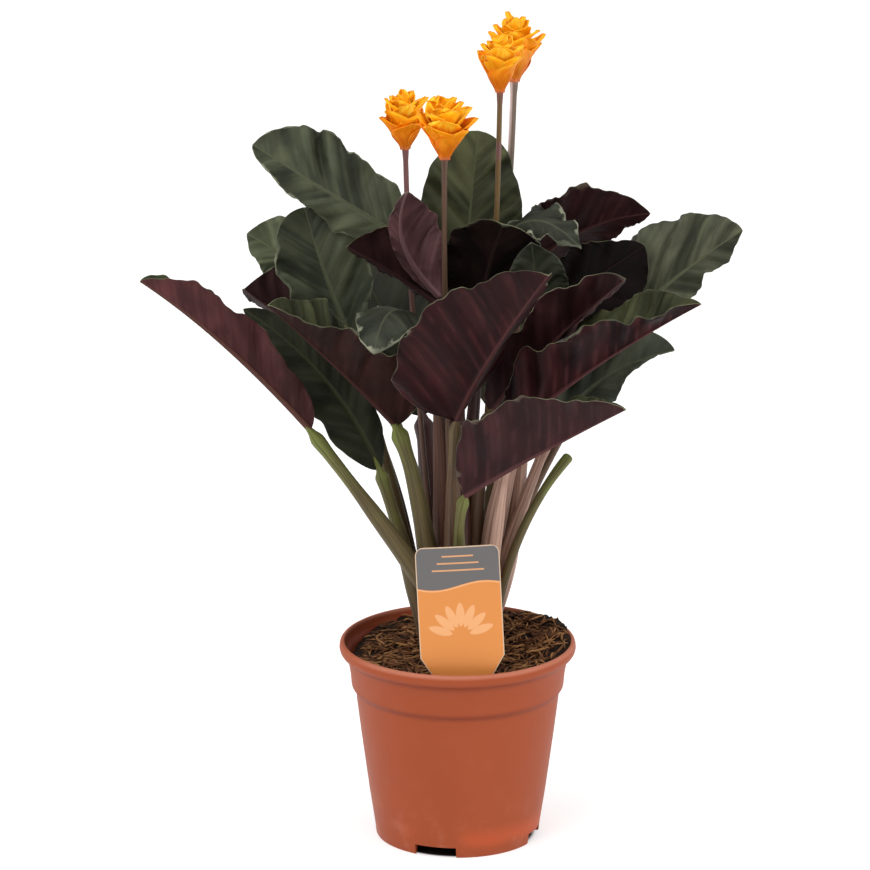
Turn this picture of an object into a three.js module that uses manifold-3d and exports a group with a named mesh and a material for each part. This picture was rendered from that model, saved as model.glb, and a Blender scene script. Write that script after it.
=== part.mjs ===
// An eternal flame calathea (Calathea crocata) growing in a round nursery pot.
// Millimetres, +Z up. The origin is the centre of the pot's underside, and -Y is the label's side.
import * as THREE from "three";
import { mergeVertices } from "three/addons/utils/BufferGeometryUtils.js";
import Module from "manifold-3d";

// ---------------------------------------------------------------- driving sizes

const POT_HEIGHT = 120;
const POT_RIM_RADIUS = 70;
const POT_BASE_RADIUS = 48.5;
const POT_WALL = 1.8;
const POT_SEGMENTS = 36;
const POT_FLOOR_TOP = 7;
const CENTRE_PAD_RADIUS = 16;

const DRAIN_NOTCHES = 4;
const NOTCH_WIDTH = 25;
const NOTCH_HEIGHT = 6.5;
const NOTCH_INNER_RADIUS = 39;
const FIRST_NOTCH_DEGREES = -16;

const SOIL_CLEARANCE = 0.5;
const SOIL_FOOT = 7.4;
const SOIL_CROWN = 111.7;
const SOIL_CROWN_RADIUS = 29;
const SOIL_DIP = -2.6;
const SOIL_MOUND = 9;
const STEM_FOOT = 112;

const BLADE_THICKNESS = 1.2;
const BLADE_STEPS = 10;
const BLADE_STEPS_ACROSS = 4;
const BLADE_NARROWEST = 0.9;

const LEAF_STEM_RADIUS = 2.2;
const LEAF_STEM_SIDES = 6;
const LEAF_STEM_STEPS = 8;
const STEM_TO_BLADE_GAP = 0.4;

const STALK_RADIUS = 1.7;
const STALK_STEPS = 8;
const STALK_TO_HEAD_GAP = 0.4;

const LABEL_WIDTH = 50;
const LABEL_HEIGHT = 79;
const LABEL_THICKNESS = 1;
const LABEL_CORNER = 5;
const LABEL_CHAMFER = 8;
const LABEL_CHAMFER_HEIGHT = 13;
const LABEL_SPIKE_WIDTH = 16;
const LABEL_SPIKE_TOP = 3;
const LABEL_SPIKE_LENGTH = 16;
const LABEL_LEAN_DEGREES = 4;
const LABEL_TURN_DEGREES = -3;
const LABEL_POSITION = new THREE.Vector3(3.3, -57, 115);
const LABEL_SLOT_CLEARANCE = 0.4;

// ---------------------------------------------------------------- finishes

const FINISHES = {
  pot: { color: 0xab5f3c, roughness: 0.62 },
  soil: { color: 0x46321f, roughness: 0.97 },
  label: { color: 0xd99a58, roughness: 0.5 },
  green: { color: 0x4e5a3e, roughness: 0.48 },
  maroon: { color: 0x56252f, roughness: 0.55 },
  greenStem: { color: 0x75723a, roughness: 0.55 },
  purpleStem: { color: 0x5f3a3c, roughness: 0.55 },
  stalk: { color: 0x9c6a55, roughness: 0.6 },
  flower: { color: 0xf59a1d, roughness: 0.5 },
};

// ---------------------------------------------------------------- the leaves

// Each leaf: where its stem leaves the soil (root), the blade's base, the point its midrib bends
// towards (elbow), and its tip. face is the way the upper side looks. left and right are the two
// halves: width, fold (degrees the half lifts off flat), curl (degrees more at its margin), and
// widest (where along the midrib it is widest, 0 to 1). wave and waves ripple the margin.
// blunt and point shape the outline at the base and at the tip, and smaller is fuller; a half's own
// ones go before the leaf's. rise steepens the stem's foot, and stem is the stem's radius.
const LEAVES = {
  far_left: {
    root: [15, -31], base: [-86, -25, 256], elbow: [-136, -39, 318], tip: [-181, -62, 355],
    face: [0.25, 0.75, 0.55], wave: 2.5, waves: 3, blunt: 0.5, point: 0.7, rise: 0.1, stem: 3.4,
    left: { width: 21, fold: 60, curl: -10, widest: 0.5 },
    right: { width: 26, fold: 80, curl: 10, widest: 0.5 },
    finish: "maroon", stemFinish: "greenStem",
  },
  high_left: {
    root: [-11, 13], base: [-21, 9, 356], elbow: [-76, 20, 387], tip: [-120, 44, 410],
    face: [0.1, -0.75, 0.65], wave: 2.5, waves: 4, point: 0.55,
    left: { width: 17, fold: -30, curl: -25, widest: 0.3 },
    right: { width: 31, fold: 0, curl: 10, widest: 0.72 },
    finish: "green", stemFinish: "purpleStem",
  },
  outer_left: {
    root: [-4, 13], base: [-71, 46, 317], elbow: [-94, 46, 338], tip: [-124, 49, 355],
    face: [-0.2, -0.6, 0.75], wave: 3, waves: 3, rise: 3,
    left: { width: 19, fold: 5, curl: -20, widest: 0.5 },
    right: { width: 34, fold: 5, curl: -10, widest: 0.5 },
    finish: "green", stemFinish: "greenStem",
  },
  mid_left: {
    root: [-13, 7], base: [-63, 16, 301], elbow: [-80, 18, 340], tip: [-90, 36, 374],
    face: [0.1, -0.9, 0.35], wave: 2, waves: 3, point: 0.5, rise: -0.15,
    left: { width: 27, fold: 0, curl: 25, widest: 0.6 },
    right: { width: 28, fold: 10, curl: 10, widest: 0.6 },
    finish: "green", stemFinish: "greenStem",
  },
  dark_left: {
    root: [-18, 13], base: [-76, 36, 295], elbow: [-109, 30, 312], tip: [-125, 24, 328],
    face: [-0.1, 0.9, 0.4], wave: 2, waves: 3, point: 0.5, rise: 0.9,
    left: { width: 38, fold: 10, curl: 0, widest: 0.6 },
    right: { width: 12, fold: 40, curl: 10, widest: 0.6 },
    finish: "maroon", stemFinish: "purpleStem",
  },
  front_left: {
    root: [-7, -20], base: [-36, -24, 258], elbow: [-70, -38, 299], tip: [-108, -73, 344],
    face: [0.25, 0.7, 0.55], twist: -25, wave: 3, waves: 3, rise: 0.1, stem: 4.2,
    left: { width: 46, fold: 15, curl: -10, widest: 0.42 },
    right: { width: 34, fold: 65, curl: 10, widest: 0.42 },
    finish: "maroon", stemFinish: "greenStem",
  },
  curled: {
    root: [-7.5, -6.5], base: [-18, -18, 312], elbow: [-41, -55, 356], tip: [-48, -91, 320],
    face: [-0.1, -0.35, 0.9], wave: 2, waves: 3,
    left: { width: 20, fold: 5, curl: -40, widest: 0.6 },
    right: { width: 20, fold: 5, curl: -30, widest: 0.55 },
    finish: "green", stemFinish: "greenStem",
  },
  heart_tall: {
    root: [3.5, -13], base: [-11, -20, 335], elbow: [-43, -26, 368], tip: [-29, -44, 403],
    face: [-0.2, 0.9, 0.3], wave: 1.5, waves: 3,
    left: { width: 25, fold: 15, curl: 10, widest: 0.5 },
    right: { width: 8, fold: 40, curl: -10, widest: 0.5 },
    finish: "maroon", stemFinish: "purpleStem",
  },
  heart_left: {
    root: [-11, 0], base: [-14, -7, 328], elbow: [-40, -8, 349], tip: [-64, -21, 365],
    face: [-0.2, 0.65, 0.6], wave: 2, waves: 3, point: 0.5,
    left: { width: 30, fold: 10, curl: 0, widest: 0.55 },
    right: { width: 12, fold: 40, curl: 0, widest: 0.55 },
    finish: "maroon", stemFinish: "purpleStem",
  },
  heart_right: {
    root: [-4, 0], base: [13, -2, 317], elbow: [16, -4, 350], tip: [26, -24, 379],
    face: [0.1, 0.75, 0.5], wave: 2.5, waves: 4, point: 0.5,
    left: { width: 33, fold: 15, curl: -10, widest: 0.5 },
    right: { width: 29, fold: 15, curl: -10, widest: 0.5 },
    finish: "maroon", stemFinish: "purpleStem",
  },
  high_centre: {
    root: [4, 13], base: [2, 27, 296], elbow: [5, 41, 354], tip: [12, 62, 414],
    face: [0, -0.95, 0.3], wave: 2, waves: 3, point: 0.5,
    left: { width: 31, fold: 8, curl: -10, widest: 0.55 },
    right: { width: 31, fold: 8, curl: -10, widest: 0.55 },
    finish: "green", stemFinish: "greenStem",
  },
  drooping: {
    root: [0, 6.5], base: [26, 15, 360], elbow: [44, 5, 388], tip: [71, -11, 361],
    face: [0.2, -0.3, 0.93], wave: 3.5, waves: 4,
    left: { width: 20, fold: 5, curl: -10, widest: 0.4 },
    right: { width: 13, fold: -10, curl: -30, widest: 0.45 },
    finish: "green", stemFinish: "purpleStem",
  },
  high_right: {
    root: [11, 13], base: [44, 42, 340], elbow: [77, 42, 367], tip: [112, 22, 374],
    face: [-0.2, 0.85, 0.5], wave: 2, waves: 3, rise: -0.8,
    left: { width: 20, fold: 10, curl: -10, widest: 0.3 },
    right: { width: 34, fold: 10, curl: -10, widest: 0.55 },
    finish: "maroon", stemFinish: "purpleStem",
  },
  far_right: {
    root: [15.5, 2], base: [100, 14, 311], elbow: [126, 15, 340], tip: [165, 5, 368],
    face: [-0.35, -0.55, 0.75], wave: 3, waves: 3, point: 0.7, rise: 4, stem: 2.5,
    left: { width: 49, fold: 5, curl: -15, widest: 0.28, blunt: 0.3 },
    right: { width: 13, fold: -25, curl: -20, widest: 0.5 },
    finish: "green", stemFinish: "greenStem",
  },
  mid_right: {
    root: [11.5, -12.2], base: [36, -26, 261], elbow: [85, -46, 309], tip: [137, -82, 347],
    face: [-0.3, 0.65, 0.6], twist: 25, wave: 3, waves: 3, stem: 3.6,
    left: { width: 34, fold: 60, curl: 10, widest: 0.4 },
    right: { width: 44, fold: 25, curl: -15, widest: 0.4 },
    finish: "maroon", stemFinish: "purpleStem",
  },
  low_right: {
    root: [16, -4.8], base: [53, -8, 246], elbow: [78, -10, 290], tip: [126, -6, 299],
    face: [0.3, -0.6, 0.6], wave: 2, waves: 3, rise: 0.7, point: 0.7, stem: 2.9,
    left: { width: 27, fold: 10, curl: -10, widest: 0.6 },
    right: { width: 15, fold: 0, curl: -20, widest: 0.35, point: 3 },
    finish: "green", stemFinish: "purpleStem",
  },
  inner_right: {
    root: [8, -6.5], base: [19, -16, 265], elbow: [52, -20, 309], tip: [96, -29, 348],
    face: [-0.3, 0.75, 0.5], wave: 2, waves: 3, point: 0.5, stem: 2.6,
    left: { width: 16, fold: 40, curl: -20, widest: 0.6 },
    right: { width: 28, fold: 15, curl: -10, widest: 0.6 },
    finish: "maroon", stemFinish: "purpleStem",
  },
  front: {
    root: [0, -20], base: [-1, -44, 267], elbow: [17, -78, 319], tip: [50, -121, 374],
    face: [-0.1, 0.9, 0.35], wave: 2.5, waves: 3, point: 0.6, stem: 3.3,
    left: { width: 30, fold: 50, curl: 15, widest: 0.4 },
    right: { width: 51, fold: 10, curl: -10, widest: 0.4, blunt: 0.35 },
    finish: "maroon", stemFinish: "greenStem",
  },
  front_right: {
    root: [7.5, -21], base: [4, -48, 223], elbow: [44, -72, 256], tip: [94, -110, 293],
    face: [-0.25, 0.75, 0.55], wave: 2.5, waves: 3, blunt: 0.85, stem: 3,
    left: { width: 28, fold: 78, curl: 10, widest: 0.5 },
    right: { width: 44, fold: 25, curl: -10, widest: 0.5 },
    finish: "maroon", stemFinish: "greenStem",
  },
  low_left: {
    root: [-15.5, -4.5], base: [-46, -4, 226], elbow: [-72, 0, 288], tip: [-125, 4, 321],
    face: [0.3, -0.85, 0.4], wave: 2.5, waves: 3, stem: 3.4,
    left: { width: 22, fold: 0, curl: -10, widest: 0.38 },
    right: { width: 20, fold: 10, curl: 10, widest: 0.5 },
    finish: "green", stemFinish: "greenStem",
  },
  inner: {
    root: [11, 0], base: [45, -3, 313], elbow: [46, -11, 341], tip: [42, -20, 367],
    face: [0, -0.9, 0.35], wave: 2, waves: 3,
    left: { width: 20, fold: 10, curl: 10, widest: 0.5 },
    right: { width: 20, fold: 10, curl: 10, widest: 0.5 },
    finish: "green", stemFinish: "purpleStem",
  },
  shaded_right: {
    root: [14, 7.5], base: [53, 12, 314], elbow: [78, 9, 339], tip: [108, 2, 360],
    face: [-0.2, 0.85, 0.5], wave: 2, waves: 3, rise: -0.6, stem: 2.5,
    left: { width: 32, fold: -12, curl: -10, widest: 0.5 },
    right: { width: 28, fold: 10, curl: -10, widest: 0.5 },
    finish: "maroon", stemFinish: "purpleStem",
  },
  rear_left: {
    root: [-8, 20], base: [-21, 54, 242], elbow: [-44, 84, 316], tip: [-74, 140, 322],
    face: [0.25, -0.6, 0.75], wave: 3, waves: 3, stem: 4,
    left: { width: 37, fold: 14, curl: -15, widest: 0.48 },
    right: { width: 37, fold: 14, curl: -15, widest: 0.48 },
    finish: "green", stemFinish: "greenStem",
  },
  rear_right: {
    root: [9.5, 19], base: [28, 46, 242], elbow: [44, 78, 312], tip: [76, 134, 312],
    face: [-0.25, -0.6, 0.75], wave: 3, waves: 3,
    left: { width: 37, fold: 14, curl: -15, widest: 0.48 },
    right: { width: 37, fold: 14, curl: -15, widest: 0.48 },
    finish: "green", stemFinish: "greenStem",
  },
};

// Each flower stalk runs from root through a bend to its top, where the head sits. height and
// radius are the head's, and stalk is the stalk's own radius where it is stouter than the rest.
const FLOWERS = {
  left: { root: [-8, 6.5], bend: [-28, 7, 291], top: [-30, 2, 419], height: 37, radius: 13 },
  front: { root: [0, -6.5], bend: [-9, -26, 288], top: [-8, -38, 421], height: 40, radius: 15 },
  right: { root: [8, 6.5], bend: [22, 7, 309], top: [24, 6, 453], height: 36, radius: 13 },
  rear: { root: [0, 20], bend: [29, 58, 295], top: [34, 71, 445], height: 44, radius: 14.5, stalk: 2.2 },
};
const BRACT_TIERS = [
  { count: 4, foot: 0.1, top: 0.62, reach: 0.82 },
  { count: 4, foot: 0.3, top: 0.82, reach: 1 },
  { count: 4, foot: 0.5, top: 0.97, reach: 0.78 },
];

const CUT_STUB = { root: [18.5, -15], bend: [26, -14, 189], top: [64, -14, 236], radius: 2.8 };

// ---------------------------------------------------------------- helpers

const wasm = await Module();
wasm.setup();

const radians = THREE.MathUtils.degToRad;
const vector = (triple) => new THREE.Vector3(...triple);

// Turns a three.js geometry into a manifold-3d solid.
function solidOf(geometry) {
  const bare = geometry.clone();
  bare.deleteAttribute("normal");
  bare.deleteAttribute("uv");
  const merged = mergeVertices(bare, 1e-4);
  const mesh = new wasm.Mesh({
    numProp: 3,
    vertProperties: new Float32Array(merged.attributes.position.array),
    triVerts: new Uint32Array(merged.index.array),
  });
  return new wasm.Manifold(mesh);
}

// Turns a manifold-3d solid back into a three.js geometry.
function geometryOf(solid) {
  const mesh = solid.getMesh();
  const geometry = new THREE.BufferGeometry();
  geometry.setAttribute("position", new THREE.BufferAttribute(mesh.vertProperties, 3));
  geometry.setIndex(new THREE.BufferAttribute(mesh.triVerts, 1));
  geometry.computeVertexNormals();
  return geometry;
}

// A geometry from corner points and triangles.
function geometryFrom(points, triangles) {
  const geometry = new THREE.BufferGeometry();
  geometry.setFromPoints(points);
  geometry.setIndex(triangles);
  geometry.computeVertexNormals();
  return geometry;
}

// A named mesh with its own material.
function piece(name, geometry, finish) {
  const material = new THREE.MeshStandardMaterial({ metalness: 0, ...FINISHES[finish] });
  const mesh = new THREE.Mesh(geometry, material);
  mesh.name = name;
  return mesh;
}

// A round rod along a curve.
function rodAlong(curve, radius, sides, steps) {
  const section = new THREE.Shape();
  for (let k = 0; k < sides; k++) {
    const angle = (2 * Math.PI * k) / sides;
    const x = radius * Math.cos(angle);
    const y = radius * Math.sin(angle);
    if (k === 0) {
      section.moveTo(x, y);
    } else {
      section.lineTo(x, y);
    }
  }
  return new THREE.ExtrudeGeometry(section, { extrudePath: curve, steps, bevelEnabled: false });
}

// ---------------------------------------------------------------- pot

// The pot's outer wall from its foot to its rim, as radius and height.
function potOutside() {
  return [
    [POT_BASE_RADIUS - 0.7, 0],
    [POT_BASE_RADIUS, 0.8],
    [49.2, 7],
    [52.3, 27],
    [57.3, 64],
    [59.9, 84.5],
    [60.5, 89.5],
    [62.9, 92.5],
    [63.5, 100.5],
    [65.4, 109],
    [68.4, 112.4],
    [POT_RIM_RADIUS, 114],
    [POT_RIM_RADIUS, POT_HEIGHT - 1.2],
    [POT_RIM_RADIUS - 1.2, POT_HEIGHT],
  ];
}

// The pot's inner wall from its rim down to its floor.
function potInside() {
  return [
    [POT_RIM_RADIUS - 3, POT_HEIGHT],
    [POT_RIM_RADIUS - 3.6, 114.5],
    [65.4 - POT_WALL, 110.5],
    [63.5 - POT_WALL, 101],
    [62.9 - POT_WALL, 94],
    [60.4 - POT_WALL, 91],
    [57.3 - POT_WALL, 64],
    [52.3 - POT_WALL, 27],
    [49.2 - POT_WALL, POT_FLOOR_TOP],
  ];
}

function potSolid() {
  const profile = [
    [0, 0],
    [CENTRE_PAD_RADIUS, 0],
    [CENTRE_PAD_RADIUS + 1.5, POT_FLOOR_TOP - POT_WALL],
    [44, POT_FLOOR_TOP - POT_WALL],
    [45.5, 0],
    ...potOutside(),
    ...potInside(),
    [0, POT_FLOOR_TOP],
  ];
  const points = profile.map(([radius, height]) => new THREE.Vector2(radius, height));
  const body = new THREE.LatheGeometry(points, POT_SEGMENTS).rotateX(Math.PI / 2);
  let solid = solidOf(body);
  const depth = POT_BASE_RADIUS + 6 - NOTCH_INNER_RADIUS;
  for (let k = 0; k < DRAIN_NOTCHES; k++) {
    const angle = radians(FIRST_NOTCH_DEGREES) + (2 * Math.PI * k) / DRAIN_NOTCHES;
    const cutter = new THREE.BoxGeometry(NOTCH_WIDTH, depth, NOTCH_HEIGHT + 2);
    cutter.translate(0, -(NOTCH_INNER_RADIUS + depth / 2), NOTCH_HEIGHT / 2 - 1);
    cutter.rotateZ(angle);
    solid = solid.subtract(solidOf(cutter));
  }
  return solid;
}

// ---------------------------------------------------------------- soil

// How high the soil lies at a place outside the crown, where the stems come up.
function soilHeight(radius, angle) {
  const out = THREE.MathUtils.clamp((radius - SOIL_CROWN_RADIUS) / 32, 0, 1);
  const mound = Math.pow(0.5 + 0.5 * Math.cos(angle - radians(30)), 1.6);
  const level = THREE.MathUtils.lerp(SOIL_DIP, SOIL_MOUND, mound);
  const lumps = 1.1 * Math.sin(3 * angle + 0.7) + 0.8 * Math.sin(7 * angle + radius / 6);
  return SOIL_CROWN + out * (level + lumps);
}

function soilSolid() {
  const wall = [
    [48.9 - POT_WALL - SOIL_CLEARANCE, SOIL_FOOT],
    [52.3 - POT_WALL - SOIL_CLEARANCE, 27],
    [57.3 - POT_WALL - SOIL_CLEARANCE, 64],
    [60.2 - POT_WALL - SOIL_CLEARANCE, 90.6],
    [62.8 - POT_WALL - SOIL_CLEARANCE, 94.4],
  ];
  const rings = [63.9 - POT_WALL - SOIL_CLEARANCE, 53, 44, 36, SOIL_CROWN_RADIUS];
  const points = [new THREE.Vector3(0, 0, SOIL_FOOT)];
  const addRing = (radius, heightAt) => {
    for (let k = 0; k < POT_SEGMENTS; k++) {
      const angle = (2 * Math.PI * k) / POT_SEGMENTS;
      points.push(new THREE.Vector3(radius * Math.sin(angle), -radius * Math.cos(angle), heightAt(angle)));
    }
  };
  wall.forEach(([radius, height]) => addRing(radius, () => height));
  rings.forEach((radius) => addRing(radius, (angle) => soilHeight(radius, angle - Math.PI / 2)));
  points.push(new THREE.Vector3(0, 0, SOIL_CROWN));
  const last = points.length - 1;
  const ringCount = wall.length + rings.length;
  const triangles = [];
  for (let k = 0; k < POT_SEGMENTS; k++) {
    const next = (k + 1) % POT_SEGMENTS;
    triangles.push(0, 1 + next, 1 + k);
    for (let ring = 0; ring < ringCount - 1; ring++) {
      const low = 1 + ring * POT_SEGMENTS;
      const high = low + POT_SEGMENTS;
      triangles.push(low + k, low + next, high + next);
      triangles.push(low + k, high + next, high + k);
    }
    const top = 1 + (ringCount - 1) * POT_SEGMENTS;
    triangles.push(last, top + k, top + next);
  }
  return solidOf(geometryFrom(points, triangles));
}

// ---------------------------------------------------------------- label

// The label's face, upright, with its lower edge at the height where it starts to narrow.
function labelOutline(spikeWidth, spikeLength) {
  const half = LABEL_WIDTH / 2;
  const cornerHeight = LABEL_HEIGHT - LABEL_CORNER;
  const outline = new THREE.Shape();
  outline.moveTo(-spikeWidth / 2 + 3, -spikeLength);
  outline.lineTo(spikeWidth / 2 - 3, -spikeLength);
  outline.lineTo(spikeWidth / 2, -spikeLength + 5);
  outline.lineTo(spikeWidth / 2, -LABEL_SPIKE_TOP);
  outline.lineTo(half - LABEL_CHAMFER, 0);
  outline.lineTo(half, LABEL_CHAMFER_HEIGHT);
  outline.lineTo(half, cornerHeight);
  outline.absarc(half - LABEL_CORNER, cornerHeight, LABEL_CORNER, 0, Math.PI / 2, false);
  outline.lineTo(-half + LABEL_CORNER, LABEL_HEIGHT);
  outline.absarc(-half + LABEL_CORNER, cornerHeight, LABEL_CORNER, Math.PI / 2, Math.PI, false);
  outline.lineTo(-half, LABEL_CHAMFER_HEIGHT);
  outline.lineTo(-half + LABEL_CHAMFER, 0);
  outline.lineTo(-spikeWidth / 2, -LABEL_SPIKE_TOP);
  outline.lineTo(-spikeWidth / 2, -spikeLength + 5);
  return outline;
}

// Stands a flat geometry up and puts it where the label is.
function placeLabel(geometry) {
  geometry.rotateX(Math.PI / 2);
  geometry.rotateY(radians(LABEL_TURN_DEGREES));
  geometry.rotateX(-radians(LABEL_LEAN_DEGREES));
  geometry.translate(...LABEL_POSITION.toArray());
  return geometry;
}

function labelGeometry() {
  const outline = labelOutline(LABEL_SPIKE_WIDTH, LABEL_SPIKE_LENGTH);
  const options = { depth: LABEL_THICKNESS, bevelEnabled: false, curveSegments: 5 };
  const plate = new THREE.ExtrudeGeometry(outline, options);
  return placeLabel(plate.translate(0, 0, -LABEL_THICKNESS / 2));
}

// The slit that the label's spike fills in the soil.
function labelSlitSolid() {
  const gap = LABEL_SLOT_CLEARANCE;
  const width = LABEL_SPIKE_WIDTH + 2 * gap;
  const length = LABEL_SPIKE_LENGTH + gap;
  const slit = new THREE.BoxGeometry(width, length, LABEL_THICKNESS + 2 * gap);
  return solidOf(placeLabel(slit.translate(0, -length / 2, 0)));
}

// ---------------------------------------------------------------- leaf blades

// How wide a half is at a place along the midrib, 0 to 1 of its full width.
function outlineAt(along, widest, blunt, point) {
  if (along < widest) {
    return Math.pow(1 - Math.pow((widest - along) / widest, 2.2), blunt);
  }
  return Math.pow(1 - Math.pow((along - widest) / (1 - widest), 2), point);
}

// A point on a blade: along runs from base to tip, across from -1 (left) to 1 (right margin).
function bladePoint(leaf, along, across) {
  const midrib = new THREE.QuadraticBezierCurve3(vector(leaf.base), vector(leaf.elbow), vector(leaf.tip));
  const forward = midrib.getTangent(along);
  const up = vector(leaf.face).addScaledVector(forward, -vector(leaf.face).dot(forward)).normalize();
  up.applyAxisAngle(forward, radians((leaf.twist ?? 0) * along));
  const side = new THREE.Vector3().crossVectors(forward, up);
  const isRight = across >= 0;
  const half = isRight ? leaf.right : leaf.left;
  const out = Math.abs(across);
  const fold = radians(half.fold);
  const curl = radians(half.curl) || 0.001;
  const spread = (Math.sin(fold + curl * out) - Math.sin(fold)) / curl;
  const lift = (Math.cos(fold) - Math.cos(fold + curl * out)) / curl;
  const blunt = half.blunt ?? leaf.blunt ?? 0.6;
  const point = half.point ?? leaf.point ?? 0.8;
  const shape = outlineAt(along, half.widest, blunt, point);
  const width = Math.max(half.width * shape, BLADE_NARROWEST);
  const phase = 2 * Math.PI * leaf.waves * along + (isRight ? 1.7 : 0);
  const fade = Math.sqrt(Math.max(Math.sin(Math.PI * along), 0));
  const ripple = leaf.wave * Math.pow(out, 2.5) * Math.sin(phase) * fade;
  const place = midrib.getPoint(along);
  place.addScaledVector(side, (isRight ? 1 : -1) * width * spread);
  place.addScaledVector(up, width * lift + ripple);
  return place;
}

// The blade's upper side looks along this at a place on it.
function bladeNormal(leaf, along, across) {
  const step = 0.02;
  const ahead = bladePoint(leaf, Math.min(along + step, 1), across);
  const behind = bladePoint(leaf, Math.max(along - step, 0), across);
  const right = bladePoint(leaf, along, Math.min(across + step, 1));
  const left = bladePoint(leaf, along, Math.max(across - step, -1));
  const forward = ahead.sub(behind);
  const side = right.sub(left);
  return new THREE.Vector3().crossVectors(side, forward).normalize();
}

// One leaf blade as a thin closed solid, its upper and under side joined round the margin.
function bladeGeometry(leaf) {
  const rows = BLADE_STEPS;
  const columns = BLADE_STEPS_ACROSS;
  const points = [];
  for (const level of [0.5, -0.5]) {
    for (let i = 0; i <= rows; i++) {
      const along = (1 - Math.cos((Math.PI * i) / rows)) / 2;
      for (let j = 0; j <= columns; j++) {
        const across = (2 * j) / columns - 1;
        const place = bladePoint(leaf, along, across);
        place.addScaledVector(bladeNormal(leaf, along, across), level * BLADE_THICKNESS);
        points.push(place);
      }
    }
  }
  const under = (rows + 1) * (columns + 1);
  const at = (i, j) => i * (columns + 1) + j;
  const triangles = [];
  const quad = (a, b, c, d) => triangles.push(a, b, c, a, c, d);
  for (let i = 0; i < rows; i++) {
    for (let j = 0; j < columns; j++) {
      quad(at(i, j), at(i, j + 1), at(i + 1, j + 1), at(i + 1, j));
      quad(under + at(i + 1, j), under + at(i + 1, j + 1), under + at(i, j + 1), under + at(i, j));
    }
    quad(at(i + 1, 0), under + at(i + 1, 0), under + at(i, 0), at(i, 0));
    quad(at(i, columns), under + at(i, columns), under + at(i + 1, columns), at(i + 1, columns));
  }
  for (let j = 0; j < columns; j++) {
    quad(at(0, j), under + at(0, j), under + at(0, j + 1), at(0, j + 1));
    quad(at(rows, j + 1), under + at(rows, j + 1), under + at(rows, j), at(rows, j));
  }
  return geometryFrom(points, triangles);
}

// ---------------------------------------------------------------- leaf stems

// Moves the foot of a slanting stem along the stem until its lower edge is out of the soil.
function clearSoil(foot, direction, radius) {
  const slant = Math.hypot(direction.x, direction.y);
  foot.addScaledVector(direction, (radius * slant) / direction.z);
}

// The line a leaf stem follows from the soil to the foot of its blade.
function leafStemCurve(leaf) {
  const root = new THREE.Vector3(leaf.root[0], leaf.root[1], STEM_FOOT);
  const base = vector(leaf.base);
  const blade = vector(leaf.elbow).sub(base).normalize();
  const reach = base.distanceTo(root);
  const straight = base.clone().sub(root).normalize();
  const rising = straight.clone().add(new THREE.Vector3(0, 0, leaf.rise ?? 0.2)).normalize();
  const arriving = blade.clone().multiplyScalar(0.4).addScaledVector(straight, 0.6).normalize();
  const low = root.clone().addScaledVector(rising, reach * 0.35);
  clearSoil(root, rising, leaf.stem ?? LEAF_STEM_RADIUS);
  const high = base.clone().addScaledVector(arriving, -reach * 0.27);
  const radius = leaf.stem ?? LEAF_STEM_RADIUS;
  const slant = Math.sin(arriving.angleTo(blade));
  const end = base.clone().addScaledVector(arriving, -(STEM_TO_BLADE_GAP + radius * slant));
  return new THREE.CubicBezierCurve3(root, low, high, end);
}

function leafStemGeometry(leaf) {
  const radius = leaf.stem ?? LEAF_STEM_RADIUS;
  return rodAlong(leafStemCurve(leaf), radius, LEAF_STEM_SIDES, LEAF_STEM_STEPS);
}

// ---------------------------------------------------------------- flowers and stub

// The curve of a stalk or stub of a radius that rises from the soil.
function risingCurve(item, radius, shortenedBy) {
  const root = new THREE.Vector3(item.root[0], item.root[1], STEM_FOOT);
  const bend = vector(item.bend);
  const top = vector(item.top);
  clearSoil(root, bend.clone().sub(root).normalize(), radius);
  top.addScaledVector(top.clone().sub(bend).normalize(), -shortenedBy);
  return new THREE.QuadraticBezierCurve3(root, bend, top);
}

// One pointed bract, lying against the head and leaning out to its tip.
function bractSolid(flower, tier, angle) {
  const stations = [
    { rise: 0, out: 0.1, wide: 0.3 },
    { rise: 0.6, out: 0.68, wide: 0.4 },
  ];
  const points = [];
  const place = (rise, out, sideways, depth) => {
    const height = flower.height * THREE.MathUtils.lerp(tier.foot, tier.top, rise);
    const radius = flower.radius * tier.reach * out + depth;
    const x = radius * Math.cos(angle) - sideways * Math.sin(angle);
    const y = radius * Math.sin(angle) + sideways * Math.cos(angle);
    points.push(new THREE.Vector3(x, y, height));
  };
  for (const station of stations) {
    const half = flower.radius * station.wide;
    place(station.rise, station.out, -half, 0);
    place(station.rise, station.out, 0, -1.2);
    place(station.rise, station.out, half, 0);
    place(station.rise, station.out, 0, 1.4);
  }
  place(1, 1, 0, 0);
  const tip = points.length - 1;
  const triangles = [0, 1, 2, 0, 2, 3];
  for (let k = 0; k < 4; k++) {
    const next = (k + 1) % 4;
    for (let s = 0; s < stations.length - 1; s++) {
      triangles.push(4 * s + k, 4 * s + 4 + next, 4 * s + next);
      triangles.push(4 * s + k, 4 * s + 4 + k, 4 * s + 4 + next);
    }
    const ring = 4 * (stations.length - 1);
    triangles.push(ring + k, tip, ring + next);
  }
  return solidOf(geometryFrom(points, triangles));
}

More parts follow.
